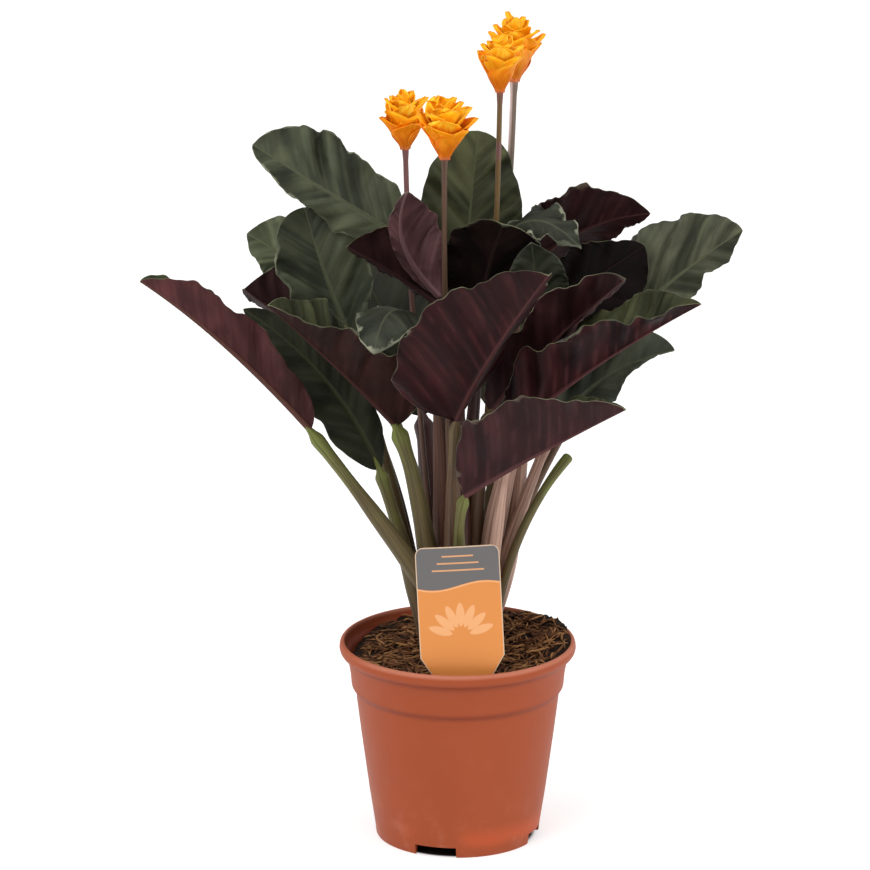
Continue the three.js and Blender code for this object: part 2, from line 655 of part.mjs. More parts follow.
// A flower head: a spindle core with tiers of pointed bracts round it.
function flowerHeadGeometry(flower) {
  const { height, radius } = flower;
  const spindle = [
    [0, 0],
    [radius * 0.2, 0],
    [radius * 0.5, height * 0.3],
    [radius * 0.55, height * 0.6],
    [radius * 0.3, height * 0.85],
    [0, height],
  ];
  const points = spindle.map(([r, h]) => new THREE.Vector2(r, h));
  let solid = solidOf(new THREE.LatheGeometry(points, 6).rotateX(Math.PI / 2));
  BRACT_TIERS.forEach((tier, row) => {
    for (let k = 0; k < tier.count; k++) {
      const angle = (2 * Math.PI * k) / tier.count + row * 1.1;
      solid = solid.add(bractSolid(flower, tier, angle));
    }
  });
  const head = geometryOf(solid);
  const upright = new THREE.Vector3(0, 0, 1);
  const growing = vector(flower.top).sub(vector(flower.bend)).normalize();
  const tilt = new THREE.Quaternion().setFromUnitVectors(upright, growing);
  return head.applyQuaternion(tilt).translate(...flower.top);
}

// ---------------------------------------------------------------- assembly

const plant = new THREE.Group();

plant.add(piece("pot", geometryOf(potSolid()), "pot"));
plant.add(piece("soil", geometryOf(soilSolid().subtract(labelSlitSolid())), "soil"));
plant.add(piece("plant_label", labelGeometry(), "label"));

for (const [place, leaf] of Object.entries(LEAVES)) {
  plant.add(piece(`leaf_${place}_blade`, bladeGeometry(leaf), leaf.finish));
  plant.add(piece(`leaf_${place}_stem`, leafStemGeometry(leaf), leaf.stemFinish));
}

for (const [place, flower] of Object.entries(FLOWERS)) {
  const radius = flower.stalk ?? STALK_RADIUS;
  const stalk = risingCurve(flower, radius, STALK_TO_HEAD_GAP);
  const rod = rodAlong(stalk, radius, LEAF_STEM_SIDES, STALK_STEPS);
  plant.add(piece(`flower_${place}_stalk`, rod, "stalk"));
  plant.add(piece(`flower_${place}_head`, flowerHeadGeometry(flower), "flower"));
}

const stub = risingCurve(CUT_STUB, CUT_STUB.radius, 0);
plant.add(piece("cut_stem_stub", rodAlong(stub, CUT_STUB.radius, LEAF_STEM_SIDES, STALK_STEPS), "greenStem"));

export default plant;
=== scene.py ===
"""The looks of a flowering calathea in its nursery pot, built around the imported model.

Every length here is in millimetres, in the model's own frame: +Z up, the origin under the middle of the
pot, and -Y the side with the card. Meshes are turned into metres as they are made, and materials read
places in metres.
"""

import logging
import math
import random
from dataclasses import dataclass, field
from enum import Enum
from typing import Iterable, Optional, Sequence, Union

import bpy
import numpy as np
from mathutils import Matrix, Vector, noise


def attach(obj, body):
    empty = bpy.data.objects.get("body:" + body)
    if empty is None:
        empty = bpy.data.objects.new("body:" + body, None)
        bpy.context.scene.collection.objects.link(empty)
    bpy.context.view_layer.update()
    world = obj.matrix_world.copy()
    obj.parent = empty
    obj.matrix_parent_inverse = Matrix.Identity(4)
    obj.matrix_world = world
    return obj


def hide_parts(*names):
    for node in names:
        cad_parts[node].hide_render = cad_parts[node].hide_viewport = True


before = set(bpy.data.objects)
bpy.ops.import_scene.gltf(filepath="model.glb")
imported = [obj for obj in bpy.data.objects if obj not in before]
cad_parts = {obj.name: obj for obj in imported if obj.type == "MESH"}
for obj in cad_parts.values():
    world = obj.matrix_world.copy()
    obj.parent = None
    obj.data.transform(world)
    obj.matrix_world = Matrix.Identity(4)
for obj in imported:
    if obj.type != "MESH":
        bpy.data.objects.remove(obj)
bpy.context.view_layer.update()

METRES = 0.001
CENTIMETRE = 10.0
DECIMETRE = 100.0
BODY = "root"
log = logging.getLogger("calathea")

Triple = tuple[float, float, float]
Pair = tuple[float, float]
Colour = tuple[float, float, float, float]
Array = np.ndarray
Face = tuple[int, ...]
Socket = bpy.types.NodeSocket

WHITE: Colour = (1.0, 1.0, 1.0, 1.0)
AWRY: Triple = (0.31, 0.9, 0.3)  # a direction that no rod starts along
STEM_FOOT = 112.0                # the height at which the leaf stems start in the soil
STALK_FOOT = 110.0               # the same for the flower stalks and the cut stem
FLUTING = 0.03                   # how deep a stem's long grooves are, as a share of its radius


# ------------------------------------------------------------------ small helpers


def shade(red: int, green: int, blue: int) -> Colour:
    """Gives the shader colour of a screen colour from 0 to 255, by the screen's usual curve."""
    linear = [((c / 255 + 0.055) / 1.055) ** 2.4 if c > 10 else c / 3294.6 for c in (red, green, blue)]
    return (linear[0], linear[1], linear[2], 1.0)


def triple(place: Sequence[float]) -> Array:
    """Gives a place or a direction as an array of floats."""
    return np.array(place, dtype=float)


def smooth(value: Union[float, Array], low: float, high: float) -> Union[float, Array]:
    """Rises smoothly from 0 at low to 1 at high.

    Args:
        value: A number or an array of them.
        low: Where the rise starts.
        high: Where it ends.

    Returns:
        The risen value, of the same form.
    """
    t = np.clip((np.asarray(value, dtype=float) - low) / (high - low), 0.0, 1.0)
    return t * t * (3.0 - 2.0 * t)


def unit(vectors: Array) -> Array:
    """Scales vectors along the last axis to a length of one."""
    return vectors / np.maximum(np.linalg.norm(vectors, axis=-1, keepdims=True), 1e-9)


def normals(points: Array) -> Array:
    """Gives the way that the upper side of a grid of points looks at each of them."""
    return unit(np.cross(np.gradient(points, axis=1), np.gradient(points, axis=0)))


@dataclass(frozen=True)
class Waver:
    """A small steady wave: its height, its pace, and how far each piece's own number moves its start."""

    height: float
    pace: float
    shift: float = 1.0

    def at(self, place: Array, own: Union[float, Array]) -> Array:
        """Gives the wave's height at a place, for a piece's own number."""
        return self.height * np.sin(self.pace * place + self.shift * own)


def bezier(points: Sequence[Sequence[float]], steps: Array) -> Array:
    """Samples a Bezier curve of any degree.

    Args:
        points: Its control points.
        steps: Places on it, from 0 to 1.

    Returns:
        One point for each step.
    """
    degree = len(points) - 1
    total = np.zeros((len(steps), 3))
    for k, point in enumerate(points):
        weight = math.comb(degree, k) * steps**k * (1 - steps) ** (degree - k)
        total += weight[:, None] * np.asarray(point, dtype=float)
    return total


@dataclass
class Shell:
    """Corner points in millimetres, faces, and what each corner carries for the finish."""

    points: list[Array] = field(default_factory=list)
    faces: list[Face] = field(default_factory=list)
    skins: list[int] = field(default_factory=list)
    maps: dict[str, list[Array]] = field(default_factory=dict)
    count: int = 0

    def add(self, points: Array, faces: Iterable[Face], skins: Union[int, Sequence[int]] = 0,
            maps: Optional[dict[str, Array]] = None) -> None:
        """Adds one more closed surface.

        Args:
            points: Its corners, one row each.
            faces: Its faces, as numbers of its own corners.
            skins: The material of each face, or one for all.
            maps: Named pairs of values for each corner.
        """
        start = self.count
        made = [tuple(start + k for k in face) for face in faces]
        self.points.append(points)
        self.faces.extend(made)
        self.skins.extend([skins] * len(made) if isinstance(skins, int) else skins)
        for name, values in (maps or {}).items():
            self.maps.setdefault(name, []).append(values)
        self.count += len(points)

    def build(self, name: str, materials: Sequence[bpy.types.Material],
              crease_degrees: float = 180.0) -> bpy.types.Object:
        """Makes the Blender object.

        Args:
            name: Its name.
            materials: Its material slots.
            crease_degrees: Edges sharper than this are shaded as edges.

        Returns:
            The new object, linked to the scene.
        """
        mesh = bpy.data.meshes.new(name)
        mesh.from_pydata((np.concatenate(self.points) * METRES).tolist(), [], self.faces)
        mesh.polygons.foreach_set("material_index", self.skins)
        mesh.polygons.foreach_set("use_smooth", [True] * len(self.faces))
        corners = np.empty(len(mesh.loops), dtype=np.int32)
        mesh.loops.foreach_get("vertex_index", corners)
        for label, parts in self.maps.items():
            layer = mesh.uv_layers.new(name=label)
            layer.data.foreach_set("uv", np.concatenate(parts)[corners].ravel())
        if crease_degrees < 180:
            mesh.set_sharp_from_angle(angle=math.radians(crease_degrees))
        mesh.update()
        made = bpy.data.objects.new(name, mesh)
        bpy.context.scene.collection.objects.link(made)
        for material in materials:
            mesh.materials.append(material)
        return made


def sheet_faces(rows: int, columns: int) -> tuple[list[Face], list[int]]:
    """Faces of a thin closed sheet of two grids, joined round the edge.

    Args:
        rows: Steps along the grid.
        columns: Steps across it.

    Returns:
        The faces, and for each a 0 on the upper grid and the edge, and a 1 on the under one.
    """
    width = columns + 1
    under = (rows + 1) * width
    faces: list[Face] = []
    skins: list[int] = []
    for i in range(rows):
        for j in range(columns):
            a = i * width + j
            faces.append((a, a + 1, a + 1 + width, a + width))
            faces.append((under + a + width, under + a + width + 1, under + a + 1, under + a))
            skins += [0, 1]
        a, b = i * width, i * width + columns
        faces.append((a + width, under + a + width, under + a, a))
        faces.append((b, under + b, under + b + width, b + width))
        skins += [0, 0]
    for j in range(columns):
        end = rows * width + j
        faces.append((j, under + j, under + j + 1, j + 1))
        faces.append((end + 1, under + end + 1, under + end, end))
        skins += [0, 0]
    return faces, skins


def turned_faces(rings: int, segments: int, inward: bool = False) -> list[Face]:
    """Faces of a closed turned shape: rings of corners between two corners on its axis.

    Args:
        rings: How many rings there are.
        segments: Corners in each ring.
        inward: Whether the rings run from the top down, so that the faces are wound the other way.

    Returns:
        The faces.
    """
    faces: list[Face] = []
    last = 1 + rings * segments
    top = last - segments
    for k in range(segments):
        following = (k + 1) % segments
        faces.append((0, 1 + following, 1 + k))
        for low in range(1, top, segments):
            high = low + segments
            faces.append((low + k, low + following, high + following, high + k))
        faces.append((last, top + k, top + following))
    return [(face[0], *face[:0:-1]) for face in faces] if inward else faces


def tube(shell: Shell, centres: Array, radii: Array, sides: int, flute: float = 0.0, tone: float = 0.0) -> None:
    """Adds a round closed rod along a line of centres.

    Args:
        shell: Where it goes.
        centres: Points along its middle.
        radii: Its radius at each of them.
        sides: Corners round it.
        flute: How deep its long grooves are, as a share of the radius.
        tone: A value that every corner carries for the finish.
    """
    ahead = unit(np.gradient(centres, axis=0))
    across = np.cross(ahead[0], AWRY)
    rings = []
    angles = np.arange(sides) * 2 * math.pi / sides
    ripple = 1 + flute * np.cos(angles * (sides // 2))
    for centre, radius, forward in zip(centres, radii, ahead):
        across = unit(across - forward * np.dot(across, forward))
        up = np.cross(forward, across)
        ring = across * np.cos(angles)[:, None] + up * np.sin(angles)[:, None]
        rings.append(centre + ring * (radius * ripple)[:, None])
    faces: list[Face] = [tuple(range(sides))[::-1]]
    for i in range(len(centres) - 1):
        for k in range(sides):
            a, b = i * sides + k, i * sides + (k + 1) % sides
            faces.append((a, b, b + sides, a + sides))
    faces.append(tuple((len(centres) - 1) * sides + k for k in range(sides)))
    lengths = np.concatenate([[0], np.cumsum(np.linalg.norm(np.diff(centres, axis=0), axis=1))])
    turn = np.stack([np.cos(angles), np.sin(angles)], axis=1)
    ran = np.repeat(lengths, sides)
    maps = {
        "Round": np.tile(turn, (len(centres), 1)),
        "Length": np.stack([ran / lengths[-1], ran / DECIMETRE], axis=1),
        "Tone": np.full((len(ran), 2), tone),
    }
    shell.add(np.concatenate(rings), faces, maps=maps)


# ------------------------------------------------------------------ finishes


class Bench:
    """Lays out the nodes of one procedural material."""

    def __init__(self, name: str, roughness: float, specular: float) -> None:
        """Starts a material.

        Args:
            name: Its name.
            roughness: How rough it is where no node says so.
            specular: Its specular level.
        """
        self.material = bpy.data.materials.new(name)
        self.material.use_nodes = True
        self.tree = self.material.node_tree
        self.shader = self.tree.nodes["Principled BSDF"]
        self.shader.inputs["Roughness"].default_value = roughness
        self.shader.inputs["Specular IOR Level"].default_value = specular

    def feed(self, socket: Socket, value: object) -> None:
        """Links a socket, or sets it if the value is plain.

        Args:
            socket: The input to fill.
            value: An output to link to it, or a plain value.
        """
        if isinstance(value, bpy.types.NodeSocket):
            self.tree.links.new(value, socket)
        else:
            socket.default_value = value

    def node(self, kind: str, *values: object, **settings: object) -> bpy.types.Node:
        """Adds a node.

        Args:
            kind: Its type, without the words that all of them start with.
            values: What its first inputs are fed with.
            settings: Its options.

        Returns:
            The node.
        """
        made = self.tree.nodes.new("ShaderNode" + kind)
        for name, value in settings.items():
            setattr(made, name, value)
        for socket, value in zip(made.inputs, values):
            self.feed(socket, value)
        return made

    def pair(self, label: str) -> tuple[Socket, Socket]:
        """Reads the two values of a named map."""
        parts = self.node("SeparateXYZ", self.node("UVMap", uv_map=label).outputs["UV"]).outputs
        return parts[0], parts[1]

    def place(self) -> Socket:
        """Gives the place on the object, in metres."""
        return self.node("TexCoord").outputs["Object"]

    def vector(self, x: object, y: object, z: object) -> Socket:
        """Joins three values in one vector."""
        return self.node("CombineXYZ", x, y, z).outputs[0]

    def math(self, operation: str, first: object, second: object = 0.0) -> Socket:
        """Works out one sum of two values."""
        return self.node("Math", first, second, operation=operation).outputs[0]

    def plus(self, first: object, second: object) -> Socket:
        """Adds two values."""
        return self.math("ADD", first, second)

    def minus(self, first: object, second: object) -> Socket:
        """Takes the second value from the first."""
        return self.math("SUBTRACT", first, second)

    def times(self, first: object, second: object) -> Socket:
        """Multiplies two values."""
        return self.math("MULTIPLY", first, second)

    def off(self, value: Socket, middle: float) -> Socket:
        """Gives how far a value is from a middle one, either way."""
        return self.math("ABSOLUTE", self.minus(value, middle))

    def band(self, value: Socket, low: float, high: float, start: float = 0.0, end: float = 1.0) -> Socket:
        """Turns a value's rise from low to high into a smooth rise from start to end."""
        return self.node("MapRange", value, low, high, start, end, interpolation_type="SMOOTHSTEP").outputs[0]

    def grain(self, vector: Socket, scale: float, detail: float = 2.0, distortion: float = 0.0) -> Socket:
        """Gives a soft random value, about 0.5 on average.

        Args:
            vector: Where it is read.
            scale: How fine it is: about so many changes to one unit of the vector.
            detail: How many finer layers it has.
            distortion: How far its shapes are drawn out.

        Returns:
            The value.
        """
        cloud = self.node("TexNoise", vector)
        for name, value in (("Scale", scale), ("Detail", detail), ("Distortion", distortion)):
            cloud.inputs[name].default_value = value
        return cloud.outputs[0]

    def blend(self, share: Socket, first: object, second: object) -> Socket:
        """Blends two colours.

        Args:
            share: How much of the second colour there is, from 0 to 1.
            first: The first colour.
            second: The second colour.

        Returns:
            The blended colour.
        """
        mixer = self.node("Mix", share, data_type="RGBA")
        for socket, colour in zip(mixer.inputs[6:8], (first, second)):
            self.feed(socket, colour)
        return mixer.outputs[2]

    def finish(self, colour: Socket, relief: Optional[Socket] = None, depth: float = 0.0,
               roughness: Optional[Socket] = None) -> bpy.types.Material:
        """Links the finished colour, relief and roughness.

        Args:
            colour: The colour.
            relief: A height from 0 to 1.
            depth: How deep the relief is, in millimetres.
            roughness: The roughness where it isn't even.

        Returns:
            The material.
        """
        self.feed(self.shader.inputs["Base Color"], colour)
        if relief is not None:
            bump = self.node("Bump")
            bump.inputs["Distance"].default_value = depth * METRES
            self.feed(bump.inputs["Height"], relief)
            self.feed(self.shader.inputs["Normal"], bump.outputs[0])
        if roughness is not None:
            self.feed(self.shader.inputs["Roughness"], roughness)
        return self.material


@dataclass(frozen=True)
class LeafSkin:
    """The finish of one side of a leaf: bands along its side veins, a midrib and a pale margin, with painted shade
    in broad mottles and in the pleats' valleys, and a painted highlight on the pleats' ridges.

    A value that ends in scale is how fine a random pattern is, as changes to a metre, and one that ends
    in pace is the same to one side vein. Widths are millimetres.
    """

    ground: Colour
    streak: Colour
    vein: Colour
    midrib: Colour
    margin: Colour
    vein_share: float = 0.2
    roughness: float = 0.52
    specular: float = 0.12
    margin_width: float = 0.45
    depth: float = 0.55
    rolled: Optional[Colour] = None
    shadow: float = 0.5
    valley_light: float = 0.4
    side_shift: float = 31.0
    band_stretch: float = 0.3
    broad_pace: float = 0.42
    broad_share: float = 0.75
    fine_pace: float = 1.9
    mottle_scale: float = 42.0
    roll_scale: float = 60.0
    roll_width: float = 4.5
    ragged_scale: float = 130.0
    lit_scale: float = 34.0
    grain_scale: float = 800.0
    relief: float = 0.45

    @property
    def valley(self) -> Colour:
        """The colour of painted shade, at the bottom of a fold and in the darker mottles."""
        return tuple(self.valley_light * c for c in self.ground[:3]) + (1.0,)

    def margins(self, bench: Bench, edge: Socket, colour: Socket) -> Socket:
        """Adds the patches where the edge rolls over, and the thin pale margin.

        Args:
            bench: The material's bench.
            edge: Distance from the edge, in millimetres.
            colour: The colour so far.

        Returns:
            The colour with both.
        """
        if self.rolled:
            rolls = bench.band(bench.grain(bench.place(), self.roll_scale), 0.5, 0.72, 0.0, self.roll_width)
            colour = bench.blend(bench.band(bench.minus(edge, rolls), -2.0, 0.8, 0.55, 0.0), colour, self.rolled)
        ragged = bench.times(edge, bench.band(bench.grain(bench.place(), self.ragged_scale), 0.36, 0.62, 3.4, 0.7))
        lit = bench.band(bench.grain(bench.place(), self.lit_scale, 1.0), 0.46, 0.6, 0.2, 0.75)
        pale = bench.times(bench.band(ragged, self.margin_width * 0.4, self.margin_width, 1.0, 0.0), lit)
        return bench.blend(pale, colour, self.margin)

    def material(self, name: str) -> bpy.types.Material:
        """Makes the material.

        Args:
            name: Its name.

        Returns:
            The material, which reads the maps that a leaf carries.
        """
        bench = Bench(name, self.roughness, self.specular)
        vein, away = bench.pair("Veins")
        edge, along = bench.pair("Edge")
        side, seed = bench.pair("Side")
        fold, _ = bench.pair("Folds")
        number = bench.plus(seed, bench.times(side, self.side_shift))
        flow = bench.vector(vein, bench.times(away, self.band_stretch), number)
        broad, fine = bench.grain(flow, self.broad_pace, distortion=0.5), bench.grain(flow, self.fine_pace, 3.0)
        mottle = bench.grain(bench.place(), self.mottle_scale, 3.0, 0.6)
        streaks = bench.plus(bench.times(broad, self.broad_share), bench.times(fine, 1 - self.broad_share))
        colour = bench.blend(bench.band(streaks, 0.36, 0.66), self.ground, self.streak)
        between = bench.math("PINGPONG", vein, 0.5)
        patch = bench.band(bench.grain(bench.vector(vein, away, number), 0.8, 1.0), 0.4, 0.62, 0.1, 1.0)
        line = bench.times(bench.times(bench.band(between, 0.0, 0.3, 1.0, 0.0), patch), self.vein_share)
        colour = bench.blend(line, colour, self.vein)
        # Painted shade: broad random mottles darkened towards the valley colour, as much as shadow says.
        colour = bench.blend(bench.band(mottle, 0.32, 0.66, self.shadow, 0.0), colour, self.valley)
        # Painted shade in the pleats' valleys, and a painted highlight in the vein colour along their ridges, as
        # strong as depth says.
        colour = bench.blend(bench.band(fold, 0.1, -0.85, 0.0, self.depth), colour, self.valley)
        colour = bench.blend(bench.band(fold, 0.15, 0.9, 0.0, 0.5 * self.depth), colour, self.vein)
        rib_width = bench.band(along, 0.0, 1.0, 0.2, 0.05)
        rib = bench.band(bench.math("DIVIDE", away, rib_width), 0.4, 1.2, 0.75, 0.0)
        colour = self.margins(bench, edge, bench.blend(rib, colour, self.midrib))
        grain = bench.grain(bench.place(), self.grain_scale)
        relief = bench.plus(bench.times(between, 0.8), bench.times(grain, 0.25))
        relief = bench.plus(relief, bench.times(fine, 0.9))
        rough = bench.band(mottle, 0.3, 0.7, self.roughness - 0.06, self.roughness + 0.08)
        return bench.finish(colour, relief, self.relief, rough)


class UpperTone(Enum):
    """How light the upper side of a leaf is: partly each leaf's own colour and partly painted light and shade, with
    the darker tones for leaves in the plant's shade and the paler ones for well-lit leaves.
    """

    DARK = LeafSkin(shade(25, 26, 17), shade(42, 44, 29), shade(55, 59, 39), shade(52, 54, 34), shade(80, 82, 62))
    DEEP = LeafSkin(shade(38, 42, 33), shade(64, 67, 54), shade(82, 86, 70), shade(72, 74, 58), shade(118, 120, 102))
    RIMMED = LeafSkin(shade(33, 36, 28), shade(62, 65, 52), shade(80, 86, 69), shade(72, 74, 58),
                      shade(150, 152, 130), margin_width=3.3)
    PLAIN = LeafSkin(shade(39, 42, 27), shade(78, 80, 53), shade(100, 105, 71), shade(78, 82, 56),
                     shade(124, 126, 100))
    COOL = LeafSkin(shade(41, 45, 33), shade(76, 80, 59), shade(100, 106, 82), shade(73, 77, 56),
                    shade(134, 136, 112), margin_width=1.5)
    BRIGHT = LeafSkin(shade(47, 50, 37), shade(98, 99, 78), shade(114, 118, 93), shade(84, 87, 64),
                      shade(130, 132, 110))
    PALE = LeafSkin(shade(62, 68, 49), shade(112, 118, 91), shade(124, 130, 101), shade(92, 97, 72),
                    shade(136, 138, 116))


class UnderTone(Enum):
    """How light the underside of a leaf is: partly each leaf's own colour and partly painted light and shade, with
    the near-black tones for undersides deep in the plant's shade.
    """

    # Painted shade: a near-black underside for a leaf deep in the plant's shade.
    BLACK = LeafSkin(shade(14, 9, 8), shade(26, 15, 15), shade(36, 22, 23), shade(36, 23, 23),
                     shade(62, 54, 46), 0.25, 0.62, 0.06)
    # The same painted shade, with a wide pale margin.
    LINED = LeafSkin(shade(19, 13, 11), shade(33, 21, 18), shade(44, 29, 27), shade(44, 30, 27),
                     shade(112, 114, 94), 0.25, 0.62, 0.06, margin_width=1.9)
    DEEP = LeafSkin(shade(34, 18, 17), shade(52, 28, 28), shade(68, 40, 41), shade(66, 40, 40),
                    shade(88, 74, 66), 0.28, 0.6, 0.1)
    DUSKY = LeafSkin(shade(28, 13, 10), shade(44, 23, 19), shade(68, 41, 38), shade(66, 40, 36),
                     shade(96, 88, 72), 0.25, 0.62, 0.05, rolled=shade(96, 92, 74), depth=0.45)
    VEINED = LeafSkin(shade(33, 11, 13), shade(54, 20, 23), shade(98, 52, 53), shade(80, 44, 44),
                      shade(104, 92, 80), 0.22, 0.6, 0.1, rolled=shade(120, 112, 96), depth=0.5)
    PLAIN = LeafSkin(shade(40, 18, 20), shade(62, 31, 33), shade(92, 56, 58), shade(84, 50, 50),
                     shade(100, 84, 76), 0.26, 0.58, 0.12, rolled=shade(100, 90, 78))
    ROSY = LeafSkin(shade(25, 8, 10), shade(52, 21, 23), shade(100, 56, 58), shade(84, 50, 51),
                    shade(104, 96, 84), 0.32, 0.62, 0.05, rolled=shade(108, 114, 96), depth=0.65)
    GREYISH = LeafSkin(shade(66, 39, 41), shade(100, 66, 68), shade(118, 86, 88), shade(106, 76, 78),
                       shade(112, 98, 90), 0.35, 0.55, 0.16)
    RUDDY = LeafSkin(shade(56, 27, 27), shade(84, 45, 46), shade(96, 57, 58), shade(92, 60, 50),
                     shade(94, 82, 64), 0.32, 0.58, 0.14)


@dataclass(frozen=True)
class StemSkin:
    """The finish of a stem: long streaks, a colour that changes from its foot to its top, and, where a shaded side
    colour is given, painted shade down the side away from the key light.
    """

    foot: Colour
    middle: Colour
    top: Colour
    streak: Colour
    collar: Optional[Colour] = None
    late: float = 0.6
    shaded_side: Optional[Colour] = None
    roughness: float = 0.5
    specular: float = 0.25
    relief: float = 0.3

    def material(self, name: str) -> bpy.types.Material:
        """Makes the material.

        Args:
            name: Its name.

        Returns:
            The material, which reads the maps that a rod carries.
        """
        bench = Bench(name, self.roughness, self.specular)
        east, north = bench.pair("Round")
        share, ran = bench.pair("Length")
        tone, _ = bench.pair("Tone")
        drift = bench.grain(bench.vector(ran, tone, 0.0), 5.0)
        place = bench.plus(share, bench.band(drift, 0.2, 0.8, -0.12, 0.12))
        colour = bench.blend(bench.band(place, 0.05, 0.5), self.foot, self.middle)
        colour = bench.blend(bench.band(place, self.late, 1.0), colour, self.top)
        lines = bench.grain(bench.vector(east, north, bench.times(ran, 0.5)), 3.4, 3.0)
        colour = bench.blend(bench.band(lines, 0.42, 0.68, 0.0, 0.75), colour, self.streak)
        wear_and_highlight = bench.grain(bench.vector(east, north, bench.times(ran, 4.0)), 1.7)
        colour = bench.blend(bench.band(wear_and_highlight, 0.55, 0.75, 0.0, 0.35), colour, self.foot)
        # Painted shade on the side of the rod turned towards +X, away from the key light.
        if self.shaded_side:
            colour = bench.blend(bench.band(east, 0.45, -0.35, 0.0, 0.95), colour, self.shaded_side)
        if self.collar:
            colour = bench.blend(bench.band(share, 0.975, 0.995), colour, self.collar)
        return bench.finish(colour, lines, self.relief)


class StemTone(Enum):
    """The colours that a leaf stem can have."""

    LEAFY = StemSkin(shade(92, 68, 50), shade(92, 80, 50), shade(104, 112, 52), shade(64, 54, 32))
    OLIVE = StemSkin(shade(102, 76, 58), shade(98, 82, 52), shade(100, 98, 56), shade(68, 54, 34))
    TAUPE = StemSkin(shade(90, 60, 47), shade(98, 66, 53), shade(120, 94, 78), shade(64, 42, 33))
    BROWN = StemSkin(shade(100, 70, 56), shade(88, 64, 46), shade(96, 80, 52), shade(54, 38, 26))
    PURPLE = StemSkin(shade(92, 62, 54), shade(70, 44, 40), shade(62, 36, 34), shade(42, 26, 22))
    MAUVE = StemSkin(shade(158, 124, 107), shade(179, 145, 128), shade(136, 103, 92), shade(106, 73, 60))

    @property
    def slot(self) -> str:
        """The record's slot for a stem of this colour."""
        return "purple_stem" if self in (StemTone.PURPLE, StemTone.MAUVE) else "green_stem"


class StalkTone(Enum):
    """The colours that a flower stalk can have."""

    MAUVE = StemSkin(shade(96, 74, 54), shade(104, 78, 66), shade(122, 82, 82), shade(80, 54, 52),
                     collar=shade(222, 128, 112))
    BROWN = StemSkin(shade(84, 64, 46), shade(88, 66, 48), shade(98, 72, 58), shade(62, 42, 34),
                     collar=shade(222, 120, 100))
    TWO = StemSkin(shade(100, 78, 48), shade(112, 88, 52), shade(124, 84, 84), shade(74, 52, 38),
                   collar=shade(214, 120, 96), late=0.86)
    # A pale stalk whose pale colours partly stand for a painted highlight on its lit side, with painted shade on the
    # other side.
    PALE = StemSkin(shade(128, 104, 86), shade(186, 164, 154), shade(204, 180, 174), shade(160, 136, 128),
                    collar=shade(222, 150, 120), shaded_side=shade(104, 88, 76))


@dataclass(frozen=True)
class BractSkin:
    """The satin orange of the bracts: deeper at their feet, partly their own colour and partly painted shade low in
    the head, lighter towards their tips, with patches of painted highlight on the higher bracts.
    """

    foot: Colour = shade(216, 104, 8)
    collar: Colour = shade(214, 112, 84)
    deep: Colour = shade(236, 130, 0)
    body: Colour = shade(250, 172, 10)
    light: Colour = shade(255, 204, 60)
    tip: Colour = shade(206, 120, 40)
    roughness: float = 0.55
    specular: float = 0.15
    lit_through: float = 0.25
    lit_reach: Triple = (0.004, 0.0016, 0.0005)
    lit_scale: float = 0.5
    relief: float = 0.15

    def material(self) -> bpy.types.Material:
        """Makes the material.

        Returns:
            The material, which reads the maps that the bracts carry.
        """
        bench = Bench("bract_orange", self.roughness, self.specular)
        along, across = bench.pair("Bract")
        tone, high = bench.pair("Tone")
        flow = bench.vector(bench.times(across, 3.0), bench.times(along, 1.2), bench.times(tone, 9.0))
        ribs = bench.grain(flow, 1.6)
        level = bench.plus(high, bench.band(ribs, 0.3, 0.7, -0.05, 0.05))
        # Deeper orange low in the head: partly the bracts' own colour and partly painted shade in the funnel.
        colour = bench.blend(bench.band(level, 0.1, 0.5), self.foot, self.deep)
        colour = bench.blend(bench.band(high, 0.08, 0.0, 0.0, 0.7), colour, self.collar)
        colour = bench.blend(bench.band(level, 0.38, 0.72), colour, self.body)
        # Painted highlight: patches of light yellow on the higher bracts.
        lit = bench.times(bench.band(ribs, 0.4, 0.62), bench.band(tone, 0.2, 1.0, 0.1, 1.0))
        lit = bench.times(lit, bench.band(level, 0.4, 0.75, 0.12, 1.0))
        colour = bench.blend(lit, colour, self.light)
        colour = bench.blend(bench.band(along, 0.94, 1.0, 0.0, 0.5), colour, self.tip)
        bench.shader.inputs["Subsurface Weight"].default_value = self.lit_through
        bench.shader.inputs["Subsurface Radius"].default_value = self.lit_reach
        bench.shader.inputs["Subsurface Scale"].default_value = self.lit_scale
        return bench.finish(colour, ribs, self.relief)


